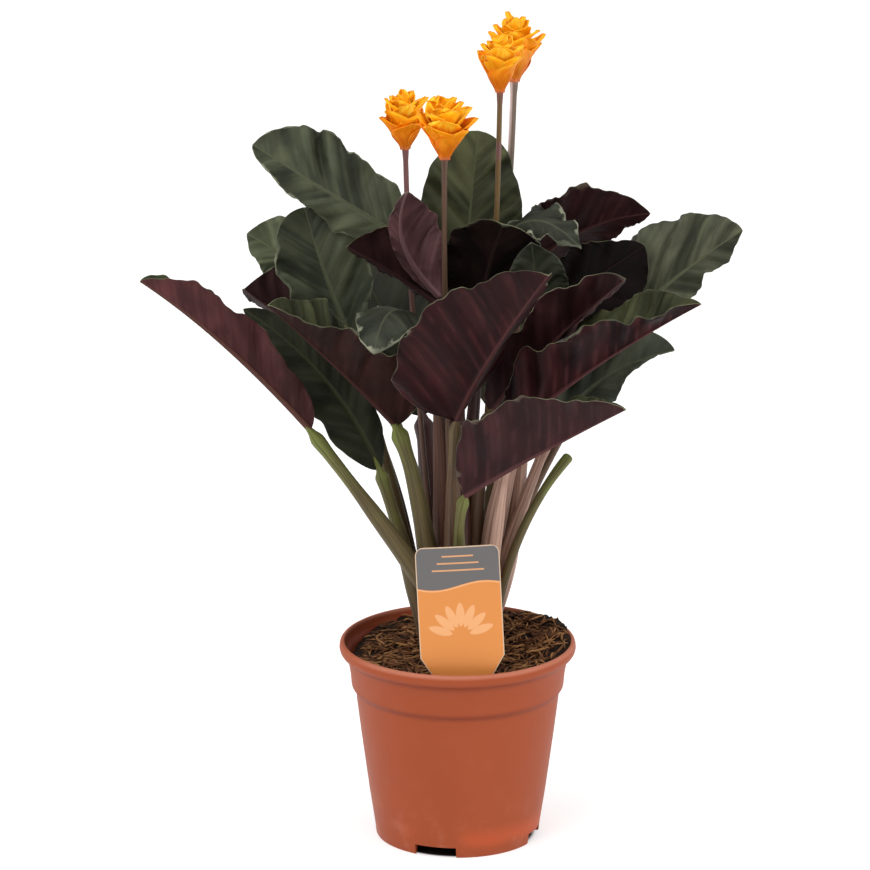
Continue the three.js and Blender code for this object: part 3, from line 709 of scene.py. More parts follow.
@dataclass(frozen=True)
class PotPlastic:
    """Satin terracotta plastic: almost even and a little dusty low down, with a painted glow where light comes
    through the thin foot, soft rings of painted shade under the rim and the ledge, and a painted highlight along the
    lip.
    """

    body: Colour = shade(149, 67, 34)
    flow: Colour = shade(153, 71, 38)
    crease_shade: Colour = shade(98, 28, 6)
    glow: Colour = shade(196, 84, 46)
    dust: Colour = shade(172, 100, 74)
    lip_highlight: Colour = shade(184, 116, 92)
    specular: float = 0.2
    roughness: Pair = (0.46, 0.56)
    shade_ring_heights: Pair = (91.4, 111.6)
    shade_ring_reach: float = 3.6
    shade_ring_share: float = 0.5
    lip_height: float = 119.3
    lip_reach: float = 2.2
    dust_height: float = 40.0
    glow_heights: Triple = (3.0, 10.0, 22.0)
    relief: float = 0.04

    def ring(self, bench: Bench, height: Socket, level: float) -> Socket:
        """Marks a soft ring of painted shade round the pot at a height, in millimetres."""
        far = bench.off(height, level * METRES)
        return bench.band(far, 0.0, self.shade_ring_reach * METRES, self.shade_ring_share, 0.0)

    def material(self) -> bpy.types.Material:
        """Makes the material.

        Returns:
            The material.
        """
        bench = Bench("pot_plastic", sum(self.roughness) / 2, self.specular)
        place = bench.place()
        height = bench.node("SeparateXYZ", place).outputs["Z"]
        cloud = bench.grain(place, 12.0, distortion=0.2)
        colour = bench.blend(bench.band(cloud, 0.3, 0.7), self.body, self.flow)
        low = bench.band(height, self.dust_height * METRES, 0.0, 0.05, 0.5)
        dusty = bench.times(bench.band(bench.grain(place, 90.0, 3.0), 0.5, 0.72), low)
        colour = bench.blend(dusty, colour, self.dust)
        start, middle, end = (level * METRES for level in self.glow_heights)
        thin = bench.times(bench.band(height, start, middle), bench.band(height, end, middle))
        patch = bench.band(bench.grain(place, 26.0, 1.0), 0.45, 0.62, 0.0, 0.45)
        colour = bench.blend(bench.times(thin, patch), colour, self.glow)
        # Soft dark rings of painted shade under the rim and under the ledge.
        for level in self.shade_ring_heights:
            colour = bench.blend(self.ring(bench, height, level), colour, self.crease_shade)
        # Painted highlight along the top of the lip, broken up at random.
        wear_and_highlight = bench.band(bench.grain(place, 18.0, 1.0), 0.35, 0.6, 0.15, 0.75)
        lip_highlight = bench.band(height, (self.lip_height - self.lip_reach) * METRES, self.lip_height * METRES)
        colour = bench.blend(bench.times(lip_highlight, wear_and_highlight), colour, self.lip_highlight)
        relief = bench.grain(place, 1200.0, 1.0)
        return bench.finish(colour, relief, self.relief, bench.band(cloud, 0.3, 0.7, *self.roughness))


@dataclass(frozen=True)
class Crumble:
    """Dull, crumbly matter in three browns."""

    dark: Colour
    body: Colour
    light: Colour
    scale: float
    toned: bool = True
    roughness: float = 0.95
    specular: float = 0.2
    relief: float = 0.6

    def material(self, name: str) -> bpy.types.Material:
        """Makes the material.

        Args:
            name: Its name.

        Returns:
            The material. If it is toned, each small piece carries a tone of its own.
        """
        bench = Bench(name, self.roughness, self.specular)
        place = bench.place()
        cloud = bench.grain(place, self.scale, 4.0, 0.8)
        colour = bench.blend(bench.band(cloud, 0.3, 0.55), self.dark, self.body)
        light = bench.band(bench.pair("Tone")[0], 0.1, 1.0) if self.toned else bench.band(cloud, 0.55, 0.75)
        fine = bench.grain(place, self.scale * 5, 3.0)
        return bench.finish(bench.blend(light, colour, self.light), fine, self.relief)


@dataclass(frozen=True)
class CardPrint:
    """The printed card: a slate band over a warm orange field, with a plain sprig of ovals."""

    slate: Colour = shade(98, 95, 95)
    orange: Colour = shade(208, 132, 66)
    pale: Colour = shade(222, 160, 108)
    edge: Colour = shade(206, 178, 150)
    roughness: float = 0.45
    specular: float = 0.3
    relief: float = 0.05
    print_lift: float = 12.0
    parting: float = 43.6
    wave_height: float = 2.4
    wave_pace: float = 0.11
    rule_gap: float = 0.4
    rule_half: float = 0.35
    soft: float = 0.25
    ovals: int = 7
    oval_size: Pair = (7.2, 2.5)
    oval_step: float = 24.0
    sprig_foot: float = 13.0
    sprig_reach: Pair = (12.5, 13.5)
    lines: int = 3
    first_line: float = 53.0
    line_pitch: float = 4.2
    line_half: float = 15.0
    line_step: float = 3.0
    edge_width: Pair = (0.7, 0.35)

    def oval(self, bench: Bench, x: Socket, y: Socket, turn: float) -> Socket:
        """Marks one oval of the sprig.

        Args:
            bench: The material's bench.
            x: Distance right of the card's middle, in millimetres.
            y: Height in the print, in millimetres.
            turn: Its turn from upright, in degrees.

        Returns:
            1 inside the oval, and 0 outside.
        """
        cosine, sine = math.cos(math.radians(turn)), math.sin(math.radians(turn))
        right = bench.minus(x, self.sprig_reach[0] * sine)
        above = bench.minus(y, self.sprig_foot + self.sprig_reach[1] * cosine)
        long = bench.plus(bench.times(right, sine), bench.times(above, cosine))
        wide = bench.minus(bench.times(right, cosine), bench.times(above, sine))
        long, wide = (bench.math("ABSOLUTE", bench.math("DIVIDE", far, size))
                      for far, size in zip((long, wide), self.oval_size))
        round_off = bench.plus(bench.math("POWER", long, 2.0), bench.math("POWER", wide, 1.5))
        return bench.band(round_off, 0.92, 1.06, 1.0, 0.0)

    def rule(self, bench: Bench, value: Socket, level: float, strength: float) -> Socket:
        """Marks a thin line where a value reaches a level, in millimetres."""
        return bench.band(bench.off(value, level), self.rule_half, self.rule_half + self.soft, strength, 0.0)

    def material(self) -> bpy.types.Material:
        """Makes the material.

        Returns:
            The material, which reads places on the card in centimetres.
        """
        bench = Bench("card_print", self.roughness, self.specular)
        across, up = bench.pair("Card")
        x = bench.times(across, CENTIMETRE)
        y = bench.minus(bench.times(up, CENTIMETRE), self.print_lift)
        wave = bench.times(bench.math("SINE", bench.times(x, self.wave_pace)), self.wave_height)
        waved = bench.minus(y, wave)
        colour = bench.blend(bench.band(waved, self.parting, self.parting + 2 * self.soft), self.orange, self.slate)
        colour = bench.blend(self.rule(bench, waved, self.parting - self.rule_gap, 1.0), colour, self.pale)
        for k in range(self.ovals):
            swing = (k - (self.ovals - 1) / 2) * self.oval_step
            colour = bench.blend(self.oval(bench, x, y, swing), colour, self.pale)
        for row in range(self.lines):
            half = self.line_half - self.line_step * row
            inside = bench.band(bench.math("ABSOLUTE", x), half, half + 0.3, 1.0, 0.0)
            line = self.rule(bench, y, self.first_line + self.line_pitch * row, 0.8)
            colour = bench.blend(bench.times(line, inside), colour, self.pale)
        margin, _ = bench.pair("Side")
        colour = bench.blend(bench.band(margin, *self.edge_width, 0.0, 1.0), colour, self.edge)
        return bench.finish(colour, bench.grain(bench.place(), 40.0, 1.0), self.relief)


# ------------------------------------------------------------------ leaves


class Shows(Enum):
    """Which side of a leaf faces the front, by the record's slot for it."""

    UPPER = "leaf_green"
    UNDER = "leaf_maroon"


@dataclass(frozen=True)
class Half:
    """One half of a leaf, beside its midrib.

    Fold and curl are degrees up from the plane of the leaf, and widest is a place along the midrib.
    Blunt and point say how full the foot and the tip are, where that isn't the leaf's own value.
    """

    width: float
    fold: float
    curl: float
    widest: float = 0.5
    blunt: Optional[float] = None
    point: Optional[float] = None


@dataclass(frozen=True)
class LeafForm:
    """A leaf: its stem's root, its midrib's base, elbow and tip, and its two halves.

    Face is the way that its upper side looks. Wave is how far its margins swing, and waves is how often.
    Rise is how steeply the stem leaves the soil, stem is its radius, sheath is how much wider its foot
    is, and opening is how far up it that goes. Lobed is how uneven the margins are.
    """

    root: Pair
    base: Triple
    elbow: Triple
    tip: Triple
    face: Triple
    left: Half
    right: Half
    wave: float
    waves: float
    shows: Shows
    stem_tone: StemTone
    twist: float = 0.0
    blunt: float = 0.6
    point: float = 0.8
    rise: float = 0.2
    stem: float = 2.2
    sheath: float = 0.6
    opening: float = 0.56
    upper: UpperTone = UpperTone.PLAIN
    under: UnderTone = UnderTone.PLAIN
    pleat: float = 2.0
    lobed: float = 1.0


LEAVES: dict[str, LeafForm] = {
    "far_left": LeafForm(
        (15, -31), (-86, -25, 256), (-136, -39, 318), (-181, -62, 355), (0.25, 0.75, 0.55),
        Half(21, 60, -10), Half(26, 80, 10), 2.5, 3, Shows.UNDER, StemTone.LEAFY,
        blunt=0.5, point=0.7, rise=0.1, stem=3.4, under=UnderTone.RUDDY, sheath=0.45),
    "high_left": LeafForm(
        (-11, 13), (-21, 9, 356), (-76, 20, 387), (-120, 44, 410), (0.1, -0.75, 0.65),
        Half(17, -30, -25, 0.3), Half(31, 0, 10, 0.72), 2.5, 4, Shows.UPPER, StemTone.PURPLE,
        point=0.55, upper=UpperTone.COOL, under=UnderTone.DEEP, pleat=2.8, lobed=2.4),
    "outer_left": LeafForm(
        (-4, 13), (-71, 46, 317), (-94, 46, 338), (-124, 49, 355), (-0.2, -0.6, 0.75),
        Half(19, 5, -20), Half(34, 5, -10), 3, 3, Shows.UPPER, StemTone.OLIVE,
        rise=3, upper=UpperTone.PALE, lobed=2.0),
    "mid_left": LeafForm(
        (-13, 7), (-63, 16, 301), (-80, 18, 340), (-90, 36, 374), (0.1, -0.9, 0.35),
        Half(27, 0, 25, 0.6), Half(28, 10, 10, 0.6), 2, 3, Shows.UPPER, StemTone.OLIVE,
        point=0.5, rise=-0.15, upper=UpperTone.COOL, pleat=2.6, lobed=2.2),
    "dark_left": LeafForm(
        (-18, 13), (-76, 36, 295), (-109, 30, 312), (-125, 24, 328), (-0.1, 0.9, 0.4),
        Half(38, 10, 0, 0.6), Half(12, 40, 10, 0.6), 2, 3, Shows.UNDER, StemTone.PURPLE,
        point=0.5, rise=0.9, under=UnderTone.DEEP),
    "front_left": LeafForm(
        (-7, -20), (-36, -24, 258), (-70, -38, 299), (-108, -73, 344), (0.25, 0.7, 0.55),
        Half(46, 15, -10, 0.42), Half(34, 65, 10, 0.42), 3, 3, Shows.UNDER, StemTone.LEAFY,
        twist=-25, rise=0.1, stem=4.2, under=UnderTone.DUSKY, sheath=0.35),
    "curled": LeafForm(
        (-7.5, -6.5), (-18, -18, 312), (-41, -55, 356), (-48, -91, 320), (-0.1, -0.35, 0.9),
        Half(20, 5, -40, 0.6), Half(20, 5, -30, 0.55), 2, 3, Shows.UPPER, StemTone.TAUPE,
        upper=UpperTone.RIMMED, pleat=2.2, sheath=1, lobed=2.0),
    "heart_tall": LeafForm(
        (3.5, -13), (-11, -20, 335), (-43, -26, 368), (-29, -44, 403), (-0.2, 0.9, 0.3),
        Half(25, 15, 10), Half(8, 40, -10), 1.5, 3, Shows.UNDER, StemTone.PURPLE,
        under=UnderTone.GREYISH, sheath=0.9),
    "heart_left": LeafForm(
        (-11, 0), (-14, -7, 328), (-40, -8, 349), (-64, -21, 365), (-0.2, 0.65, 0.6),
        Half(30, 10, 0, 0.55), Half(12, 40, 0, 0.55), 2, 3, Shows.UNDER, StemTone.PURPLE,
        point=0.5, under=UnderTone.DEEP, sheath=0.9),
    "heart_right": LeafForm(
        (-4, 0), (13, -2, 317), (16, -4, 350), (26, -24, 379), (0.1, 0.75, 0.5),
        Half(33, 15, -10), Half(29, 15, -10), 2.5, 4, Shows.UNDER, StemTone.PURPLE,
        point=0.5, under=UnderTone.LINED),
    "high_centre": LeafForm(
        (4, 13), (2, 27, 296), (5, 41, 354), (12, 62, 414), (0, -0.95, 0.3),
        Half(31, 8, -10, 0.55), Half(31, 8, -10, 0.55), 2, 3, Shows.UPPER, StemTone.OLIVE,
        point=0.5, pleat=2.6),
    "drooping": LeafForm(
        (0, 6.5), (26, 15, 360), (44, 5, 388), (71, -11, 361), (0.2, -0.3, 0.93),
        Half(20, 5, -10, 0.4), Half(13, -10, -30, 0.45), 3.5, 4, Shows.UPPER, StemTone.PURPLE,
        upper=UpperTone.RIMMED, lobed=2.2),
    "high_right": LeafForm(
        (11, 13), (44, 42, 340), (77, 42, 367), (112, 22, 374), (-0.2, 0.85, 0.5),
        Half(20, 10, -10, 0.3), Half(34, 10, -10, 0.55), 2, 3, Shows.UNDER, StemTone.TAUPE,
        rise=-0.8, pleat=2.6),
    "far_right": LeafForm(
        (15.5, 2), (100, 14, 311), (126, 15, 340), (165, 5, 368), (-0.35, -0.55, 0.75),
        Half(49, 5, -15, 0.28, 0.3), Half(13, -25, -20), 3, 3, Shows.UPPER, StemTone.BROWN,
        point=0.7, rise=4, stem=2.5, upper=UpperTone.BRIGHT, pleat=3, sheath=0.15, lobed=1.6),
    "mid_right": LeafForm(
        (11.5, -12.2), (36, -26, 261), (85, -46, 309), (137, -82, 347), (-0.3, 0.65, 0.6),
        Half(34, 60, 10, 0.4), Half(44, 25, -15, 0.4), 3, 3, Shows.UNDER, StemTone.MAUVE,
        twist=25, stem=3.6, under=UnderTone.ROSY, pleat=3, sheath=0.5),
    "low_right": LeafForm(
        (14, -5), (53, -8, 246), (78, -10, 290), (126, -6, 299), (0.3, -0.6, 0.6),
        Half(27, 10, -10, 0.6), Half(15, 0, -20, 0.35, point=3), 2, 3, Shows.UPPER, StemTone.MAUVE,
        point=0.7, rise=0.7, stem=3.0, upper=UpperTone.DEEP, pleat=2.8, sheath=0.4, lobed=2.2),
    "inner_right": LeafForm(
        (8, -6.5), (19, -16, 265), (52, -20, 309), (96, -29, 348), (-0.3, 0.75, 0.5),
        Half(16, 40, -20, 0.6), Half(28, 15, -10, 0.6), 2, 3, Shows.UNDER, StemTone.BROWN,
        point=0.5, stem=3.8),
    "front": LeafForm(
        (0, -20), (-1, -44, 267), (17, -78, 319), (50, -121, 374), (-0.1, 0.9, 0.35),
        Half(30, 50, 15, 0.4), Half(51, 10, -10, 0.4, 0.35), 2.5, 3, Shows.UNDER, StemTone.BROWN,
        point=0.6, stem=3.3, under=UnderTone.VEINED, pleat=2.4),
    "front_right": LeafForm(
        (7.5, -21), (4, -48, 223), (44, -72, 256), (94, -110, 293), (-0.25, 0.75, 0.55),
        Half(28, 78, 10), Half(44, 25, -10), 2.5, 3, Shows.UNDER, StemTone.LEAFY,
        blunt=0.85, stem=3),
    "low_left": LeafForm(
        (-15.5, -4.5), (-46, -4, 226), (-72, 0, 288), (-125, 4, 321), (0.3, -0.85, 0.4),
        Half(19, 0, -10, 0.38), Half(17, 10, 10), 2.5, 3, Shows.UPPER, StemTone.LEAFY,
        stem=3.4, upper=UpperTone.DARK, sheath=0.3, lobed=2.6),
    "inner": LeafForm(
        (11, 0), (45, -3, 313), (46, -11, 341), (42, -20, 367), (0, -0.9, 0.35),
        Half(20, 10, 10), Half(20, 10, 10), 2, 3, Shows.UPPER, StemTone.MAUVE,
        upper=UpperTone.DEEP),
    "shaded_right": LeafForm(
        (11.5, 7.5), (53, 12, 314), (78, 9, 339), (108, 2, 360), (-0.2, 0.85, 0.5),
        Half(32, -12, -10), Half(28, 10, -10), 2, 3, Shows.UNDER, StemTone.MAUVE,
        rise=-0.6, stem=3, under=UnderTone.BLACK),
    "rear_left": LeafForm(
        (-8, 20), (-21, 54, 242), (-44, 84, 316), (-74, 140, 322), (0.25, -0.6, 0.75),
        Half(37, 14, -15, 0.48), Half(37, 14, -15, 0.48), 3, 3, Shows.UPPER, StemTone.PURPLE,
        stem=4, upper=UpperTone.DARK, sheath=0.5, opening=0.95),
    "rear_right": LeafForm(
        (9.5, 19), (28, 46, 242), (44, 78, 312), (76, 134, 312), (-0.25, -0.6, 0.75),
        Half(37, 14, -15, 0.48), Half(37, 14, -15, 0.48), 3, 3, Shows.UPPER, StemTone.OLIVE,
        stem=3.6),
}


@dataclass
class Blade:
    """The blade of a leaf, as a thin closed sheet with veins, pleats, a midrib and a wavy margin."""

    name: str
    form: LeafForm
    number: int
    rows: int = 110
    columns: int = 22
    crowding: float = 1.35
    thickness: float = 0.5
    foot_power: float = 2.2
    narrowest: Pair = (0.9, 0.6)
    lobes: tuple[Waver, ...] = (Waver(0.018, 17), Waver(0.012, 31, 2.1))
    nibble: Waver = Waver(0.005, 67, 1.3)
    nick: Waver = Waver(1.0, 11, 3.1)
    nick_depth: float = 0.03
    nick_power: int = 12
    outline_shifts: Pair = (1.3, 2.9)
    wave_power: float = 2.5
    wave_lag: float = 1.7
    frills: tuple[Waver, ...] = (Waver(1.0, 2.7), Waver(0.6, 5.3, 1.7))
    frill: float = 0.7
    frill_power: int = 5
    vein_pitch: float = 9.5
    vein_sweep: float = 1.1
    vein_bend: float = 0.004
    vein_drift: tuple[Waver, ...] = (Waver(0.3, 0.55), Waver(0.14, 1.45, 2.2))
    quilting: float = 0.42
    quilt_power: float = 0.8
    pleat_pitch: float = 31.0
    pleat_drift: Waver = Waver(1.3, 0.41, 1.9)
    pleat_ripple: Waver = Waver(0.25, 2.3, 3.0)
    pleat_strength: float = 0.65
    pleat_swell: Waver = Waver(0.35, 0.29, 2.7)
    pleat_full_width: float = 22.0
    margin_starts: Pair = (1.9, 2.6)
    vein_starts: Pair = (1.7, 2.3)
    seed_step: float = 1.37
    rib_height: float = 1.5
    rib_radius: float = 1.9
    rib_above: float = 0.35

    def midrib(self, along: Array) -> tuple[Array, Array]:
        """Follows the midrib.

        Args:
            along: Places along it, 0 to 1.

        Returns:
            Its points and its forward directions.
        """
        control = (self.form.base, self.form.elbow, self.form.tip)
        base, elbow, tip = (triple(point) for point in control)
        slopes = 2 * (1 - along)[:, None] * (elbow - base) + 2 * along[:, None] * (tip - elbow)
        return bezier(control, along), unit(slopes)

    def outline(self, half: Half, along: Array, start: float) -> Array:
        """Gives how wide a half is along the midrib, in millimetres.

        Args:
            half: The half of the leaf.
            along: Places along the midrib, 0 to 1.
            start: A number that makes each margin's lobes its own.

        Returns:
            A width for each place.
        """
        blunt = self.form.blunt if half.blunt is None else half.blunt
        point = self.form.point if half.point is None else half.point
        foot = np.clip((half.widest - along) / half.widest, 0, 1)
        head = np.clip((along - half.widest) / (1 - half.widest), 0, 1)
        shape = np.where(along < half.widest, (1 - foot**self.foot_power) ** blunt, (1 - head**2) ** point)
        lobes = self.form.lobed * sum(lobe.at(along, start) for lobe in self.lobes)
        nicks = self.nibble.at(along, start) - self.nick_depth * self.nick.at(along, start) ** self.nick_power
        return np.maximum(half.width * shape * (1 + lobes + nicks), self.narrowest[0] - self.narrowest[1] * along)

    def surface(self, along: Array, across: Array) -> tuple[Array, Array]:
        """Works out the middle of the sheet, before its veins and pleats.

        Args:
            along: Places along the midrib, 0 to 1.
            across: Places across it, from -1 at the left margin to 1 at the right one.

        Returns:
            The points and the half widths, for each row and column.
        """
        form = self.form
        middle, forward = self.midrib(along)
        face = triple(form.face)
        up = unit(face - forward * (forward @ face)[:, None])
        turn = np.radians(form.twist * along)[:, None]
        up = up * np.cos(turn) + np.cross(forward, up) * np.sin(turn)
        side = np.cross(forward, up)
        out = np.abs(across)[None, :]
        right = (across >= 0)[None, :]
        halves = []
        for shift, half in zip(self.outline_shifts, (form.left, form.right)):
            fold, curl = math.radians(half.fold), math.radians(half.curl) or 0.001
            spread = (np.sin(fold + curl * out) - math.sin(fold)) / curl
            lift = (math.cos(fold) - np.cos(fold + curl * out)) / curl
            halves.append((self.outline(half, along, shift * self.number)[:, None], spread, lift))
        width = np.where(right, halves[1][0], halves[0][0])
        spread = np.where(right, halves[1][1], -halves[0][1])
        lift = np.where(right, halves[1][2], halves[0][2])
        fade = np.sqrt(np.clip(np.sin(math.pi * along), 0, 1))[:, None]
        phase = 2 * math.pi * form.waves * along[:, None] + np.where(right, self.wave_lag, 0.0)
        ripple = form.wave * out**self.wave_power * np.sin(phase) * fade
        own = self.number * self.margin_starts[0] + np.where(right, self.margin_starts[1], 0.0)
        frill = sum(frill.at(phase, own) for frill in self.frills)
        ripple = ripple + self.frill * out**self.frill_power * frill * fade
        points = middle[:, None, :] + side[:, None, :] * (width * spread)[:, :, None]
        return points + up[:, None, :] * (width * lift + ripple)[:, :, None], width

    def relief(self, ran: Array, across: Array, width: Array) -> tuple[Array, Array, Array]:
        """Works out the side veins and the pleats between them.

        Args:
            ran: Length along the midrib of each row, in millimetres.
            across: Places across the blade.
            width: The half width at each point.

        Returns:
            The number of the side vein at each point, how far the sheet is lifted there, and its
            place between the pleats' valleys (-1) and their ridges (1).
        """
        out = np.abs(across)[None, :]
        away = out * width
        own = self.number * self.vein_starts[0] + np.where(across >= 0, self.vein_starts[1], 0.0)[None, :]
        swept = ran[:, None] - self.vein_sweep * away + self.vein_bend * away**2
        even = swept / self.vein_pitch
        veins = sum((drift.at(even, own) for drift in self.vein_drift), even)
        raised = np.abs(np.sin(math.pi * veins)) ** self.quilt_power - 0.5
        near = smooth(away, 0.8, 7.0) * (1 - 0.7 * smooth(out, 0.86, 1.0))
        turn = 2 * math.pi * swept / self.pleat_pitch
        pleats = np.sin(turn + own + self.pleat_drift.at(turn, own)) + self.pleat_ripple.at(turn, own)
        strength = self.pleat_strength + self.pleat_swell.at(turn, own)
        room = np.minimum(width / self.pleat_full_width, 1.0)
        grown = strength * smooth(away, 1.5, 18.0) * room * (1 - 0.35 * smooth(out, 0.8, 1))
        return veins, self.quilting * raised * near + self.form.pleat * pleats * grown, pleats * grown

    def thicken(self, points: Array, along: Array, across: Array, away: Array) -> Array:
        """Gives the sheet its two sides, and the midrib that stands out below.

        Args:
            points: The middle of the sheet.
            along: Places of its rows along the midrib.
            across: Places of its columns across it.
            away: Distance from the midrib at each point.

        Returns:
            The corners of the upper side, and after them those of the underside.
        """
        up = normals(points)
        rib = np.sqrt(np.clip(1 - (away / (self.rib_radius * (1 - 0.75 * along[:, None]))) ** 2, 0, 1))
        rib = rib * self.rib_height * (1 - 0.8 * along[:, None])
        thin = self.thickness * (1 - 0.35 * smooth(np.abs(across)[None, :], 0.7, 1.0)) / 2
        top = points + up * (thin - self.rib_above * rib)[:, :, None]
        bottom = points - up * (thin + rib)[:, :, None]
        return np.concatenate([top.reshape(-1, 3), bottom.reshape(-1, 3)])

    def build(self, upper: bpy.types.Material, under: bpy.types.Material) -> bpy.types.Object:
        """Makes the blade.

        Args:
            upper: The upper side's material.
            under: The underside's material.

        Returns:
            The blade.
        """
        even = np.linspace(0, 1, self.rows + 1)
        along = 0.5 * even + 0.25 * (1 - np.cos(math.pi * even))
        steps = np.linspace(-1, 1, 2 * self.columns + 1)
        across = np.sign(steps) * np.abs(steps) ** self.crowding
        points, width = self.surface(along, across)
        away = np.abs(across)[None, :] * width
        gaps = np.linalg.norm(np.diff(self.midrib(along)[0], axis=0), axis=1)
        ran = np.concatenate([[0.0], np.cumsum(gaps)])
        veins, lift, folds = self.relief(ran, across, width)
        lift = lift * (smooth(along, 0.0, 0.08) * (1 - smooth(along, 0.93, 1.0)))[:, None]
        both = self.thicken(points + normals(points) * lift[:, :, None], along, across, away)
        flat = np.zeros_like(away)
        edge = np.minimum(width - away, ran[-1] - ran[:, None] + flat)
        side = np.where(across >= 0, 1.0, 0.0)[None, :] + flat
        carried = {
            "Veins": (veins, away / CENTIMETRE),
            "Edge": (edge, along[:, None] + flat),
            "Side": (side, flat + self.number * self.seed_step),
            # Where the pleats' painted shade and painted highlights go.
            "Folds": (folds, flat),
        }
        maps = {name: np.tile(np.stack(pair, axis=-1).reshape(-1, 2), (2, 1)) for name, pair in carried.items()}
        shell = Shell()
        shell.add(both, *sheet_faces(self.rows, 2 * self.columns), maps)
        blade = shell.build(f"{self.name}_blade", [upper, under])
        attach(blade, BODY)
        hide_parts(f"leaf_{self.name}_blade")
        return blade


@dataclass
class LeafStem:
    """The stem of a leaf, from a wide sheathing foot in the soil to the foot of its blade."""

    name: str
    form: LeafForm
    number: int
    sides: int = 20
    steps: int = 64
    stoutness: float = 1.2
    buried: float = 3.0
    low_reach: float = 0.35
    high_reach: float = 0.27
    blade_pull: float = 0.4
    tail_reach: Triple = (1.5, 4.0, 8.0)
    tail_width: Triple = (0.5, 0.36, 0.15)
    opening_spread: float = 0.07
    waist: float = 0.16
    wobble: Waver = Waver(0.03, 23)
    tone_step: float = 0.83

    def line(self) -> tuple[Array, Array]:
        """Works out the stem from its foot to a little way into its blade.

        Returns:
            The points along its middle, and its radius at each.
        """
        form = self.form
        root = triple((*form.root, STEM_FOOT))
        base = triple(form.base)
        blade = unit(triple(form.elbow) - base)
        reach = float(np.linalg.norm(base - root))
        straight = unit(base - root)
        rising = unit(straight + triple((0, 0, form.rise)))
        arriving = unit(self.blade_pull * blade + (1 - self.blade_pull) * straight)
        low = root + rising * reach * self.low_reach
        high = base - arriving * reach * self.high_reach
        share = np.linspace(0, 1, self.steps + 1)
        middle = bezier((root - rising * self.buried, low, high, base), share)
        opening = form.opening + self.opening_spread * math.sin(2.3 * self.number)
        radii = form.stem * self.stoutness * (1 + form.sheath * (1 - smooth(share, opening - 0.25, opening + 0.2)))
        radii = radii * (1 - self.waist * smooth(share, 0.5, 0.85) + self.waist * smooth(share, 0.87, 0.95))
        radii = radii * (1 - 0.5 * smooth(share, 0.95, 1.0)) * (1 + self.wobble.at(share, self.number))
        tail = np.array([base + blade * far for far in self.tail_reach])
        return np.concatenate([middle, tail]), np.concatenate([radii, triple(self.tail_width) * form.stem])

    def build(self, material: bpy.types.Material) -> bpy.types.Object:
        """Makes the stem.

        Args:
            material: Its material.

        Returns:
            The stem.
        """
        centres, radii = self.line()
        shell = Shell()
        tube(shell, centres, radii, self.sides, FLUTING, self.number * self.tone_step)
        stem = shell.build(f"{self.name}_stem", [material])
        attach(stem, BODY)
        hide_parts(f"leaf_{self.name}_stem")
        return stem


@dataclass
class Foliage:
    """All the leaves, each a blade on its stem."""

    forms: dict[str, LeafForm]

    def build(self) -> list[bpy.types.Object]:
        """Makes every leaf.

        Returns:
            The blades and the stems.
        """
        upper = {tone: tone.value.material(f"leaf_upper_{tone.name.lower()}") for tone in UpperTone}
        under = {tone: tone.value.material(f"leaf_under_{tone.name.lower()}") for tone in UnderTone}
        stems = {tone: tone.value.material(f"leaf_stem_{tone.name.lower()}") for tone in StemTone}
        made = []
        for number, (name, form) in enumerate(self.forms.items()):
            made.append(Blade(name, form, number).build(upper[form.upper], under[form.under]))
            made.append(LeafStem(name, form, number).build(stems[form.stem_tone]))
        return made


# ------------------------------------------------------------------ flowers


@dataclass(frozen=True)
class BractRing:
    """One turn of bracts. Heights, reach and width are shares of the head's height and radius."""

    count: int
    foot: float
    top: float
    reach: float
    width: float
    flare: float


BRACT_RINGS = (
    BractRing(4, 0.00, 0.60, 0.92, 0.98, 0.08),
    BractRing(4, 0.06, 0.72, 1.00, 0.84, 0.10),
    BractRing(4, 0.24, 0.84, 0.84, 0.76, 0.10),
    BractRing(4, 0.36, 0.90, 0.58, 0.60, 0.10),
    BractRing(3, 0.48, 0.95, 0.30, 0.46, 0.06),
)


@dataclass(frozen=True)
class FlowerForm:
    """A flower: its stalk's root, bend and top, and the size of its head."""

    root: Pair
    bend: Triple
    top: Triple
    height: float
    radius: float
    turn: float
    tone: StalkTone
    stalk: float = 1.7


FLOWERS: dict[str, FlowerForm] = {
    "left": FlowerForm((-8, 6.5), (-28, 7, 291), (-30.5, 2, 417.2), 37, 13, 20, StalkTone.MAUVE),
    "front": FlowerForm((0, -6.5), (-9, -26, 288), (-8, -38, 421), 40, 15, 40, StalkTone.BROWN),
    "right": FlowerForm((8, 6.5), (22, 7, 309), (24, 6, 450), 36, 13, 140, StalkTone.TWO),
    "rear": FlowerForm((0, 20), (29, 58, 295), (33, 71, 441.6), 43, 14.5, 200, StalkTone.PALE, 2.2),
}


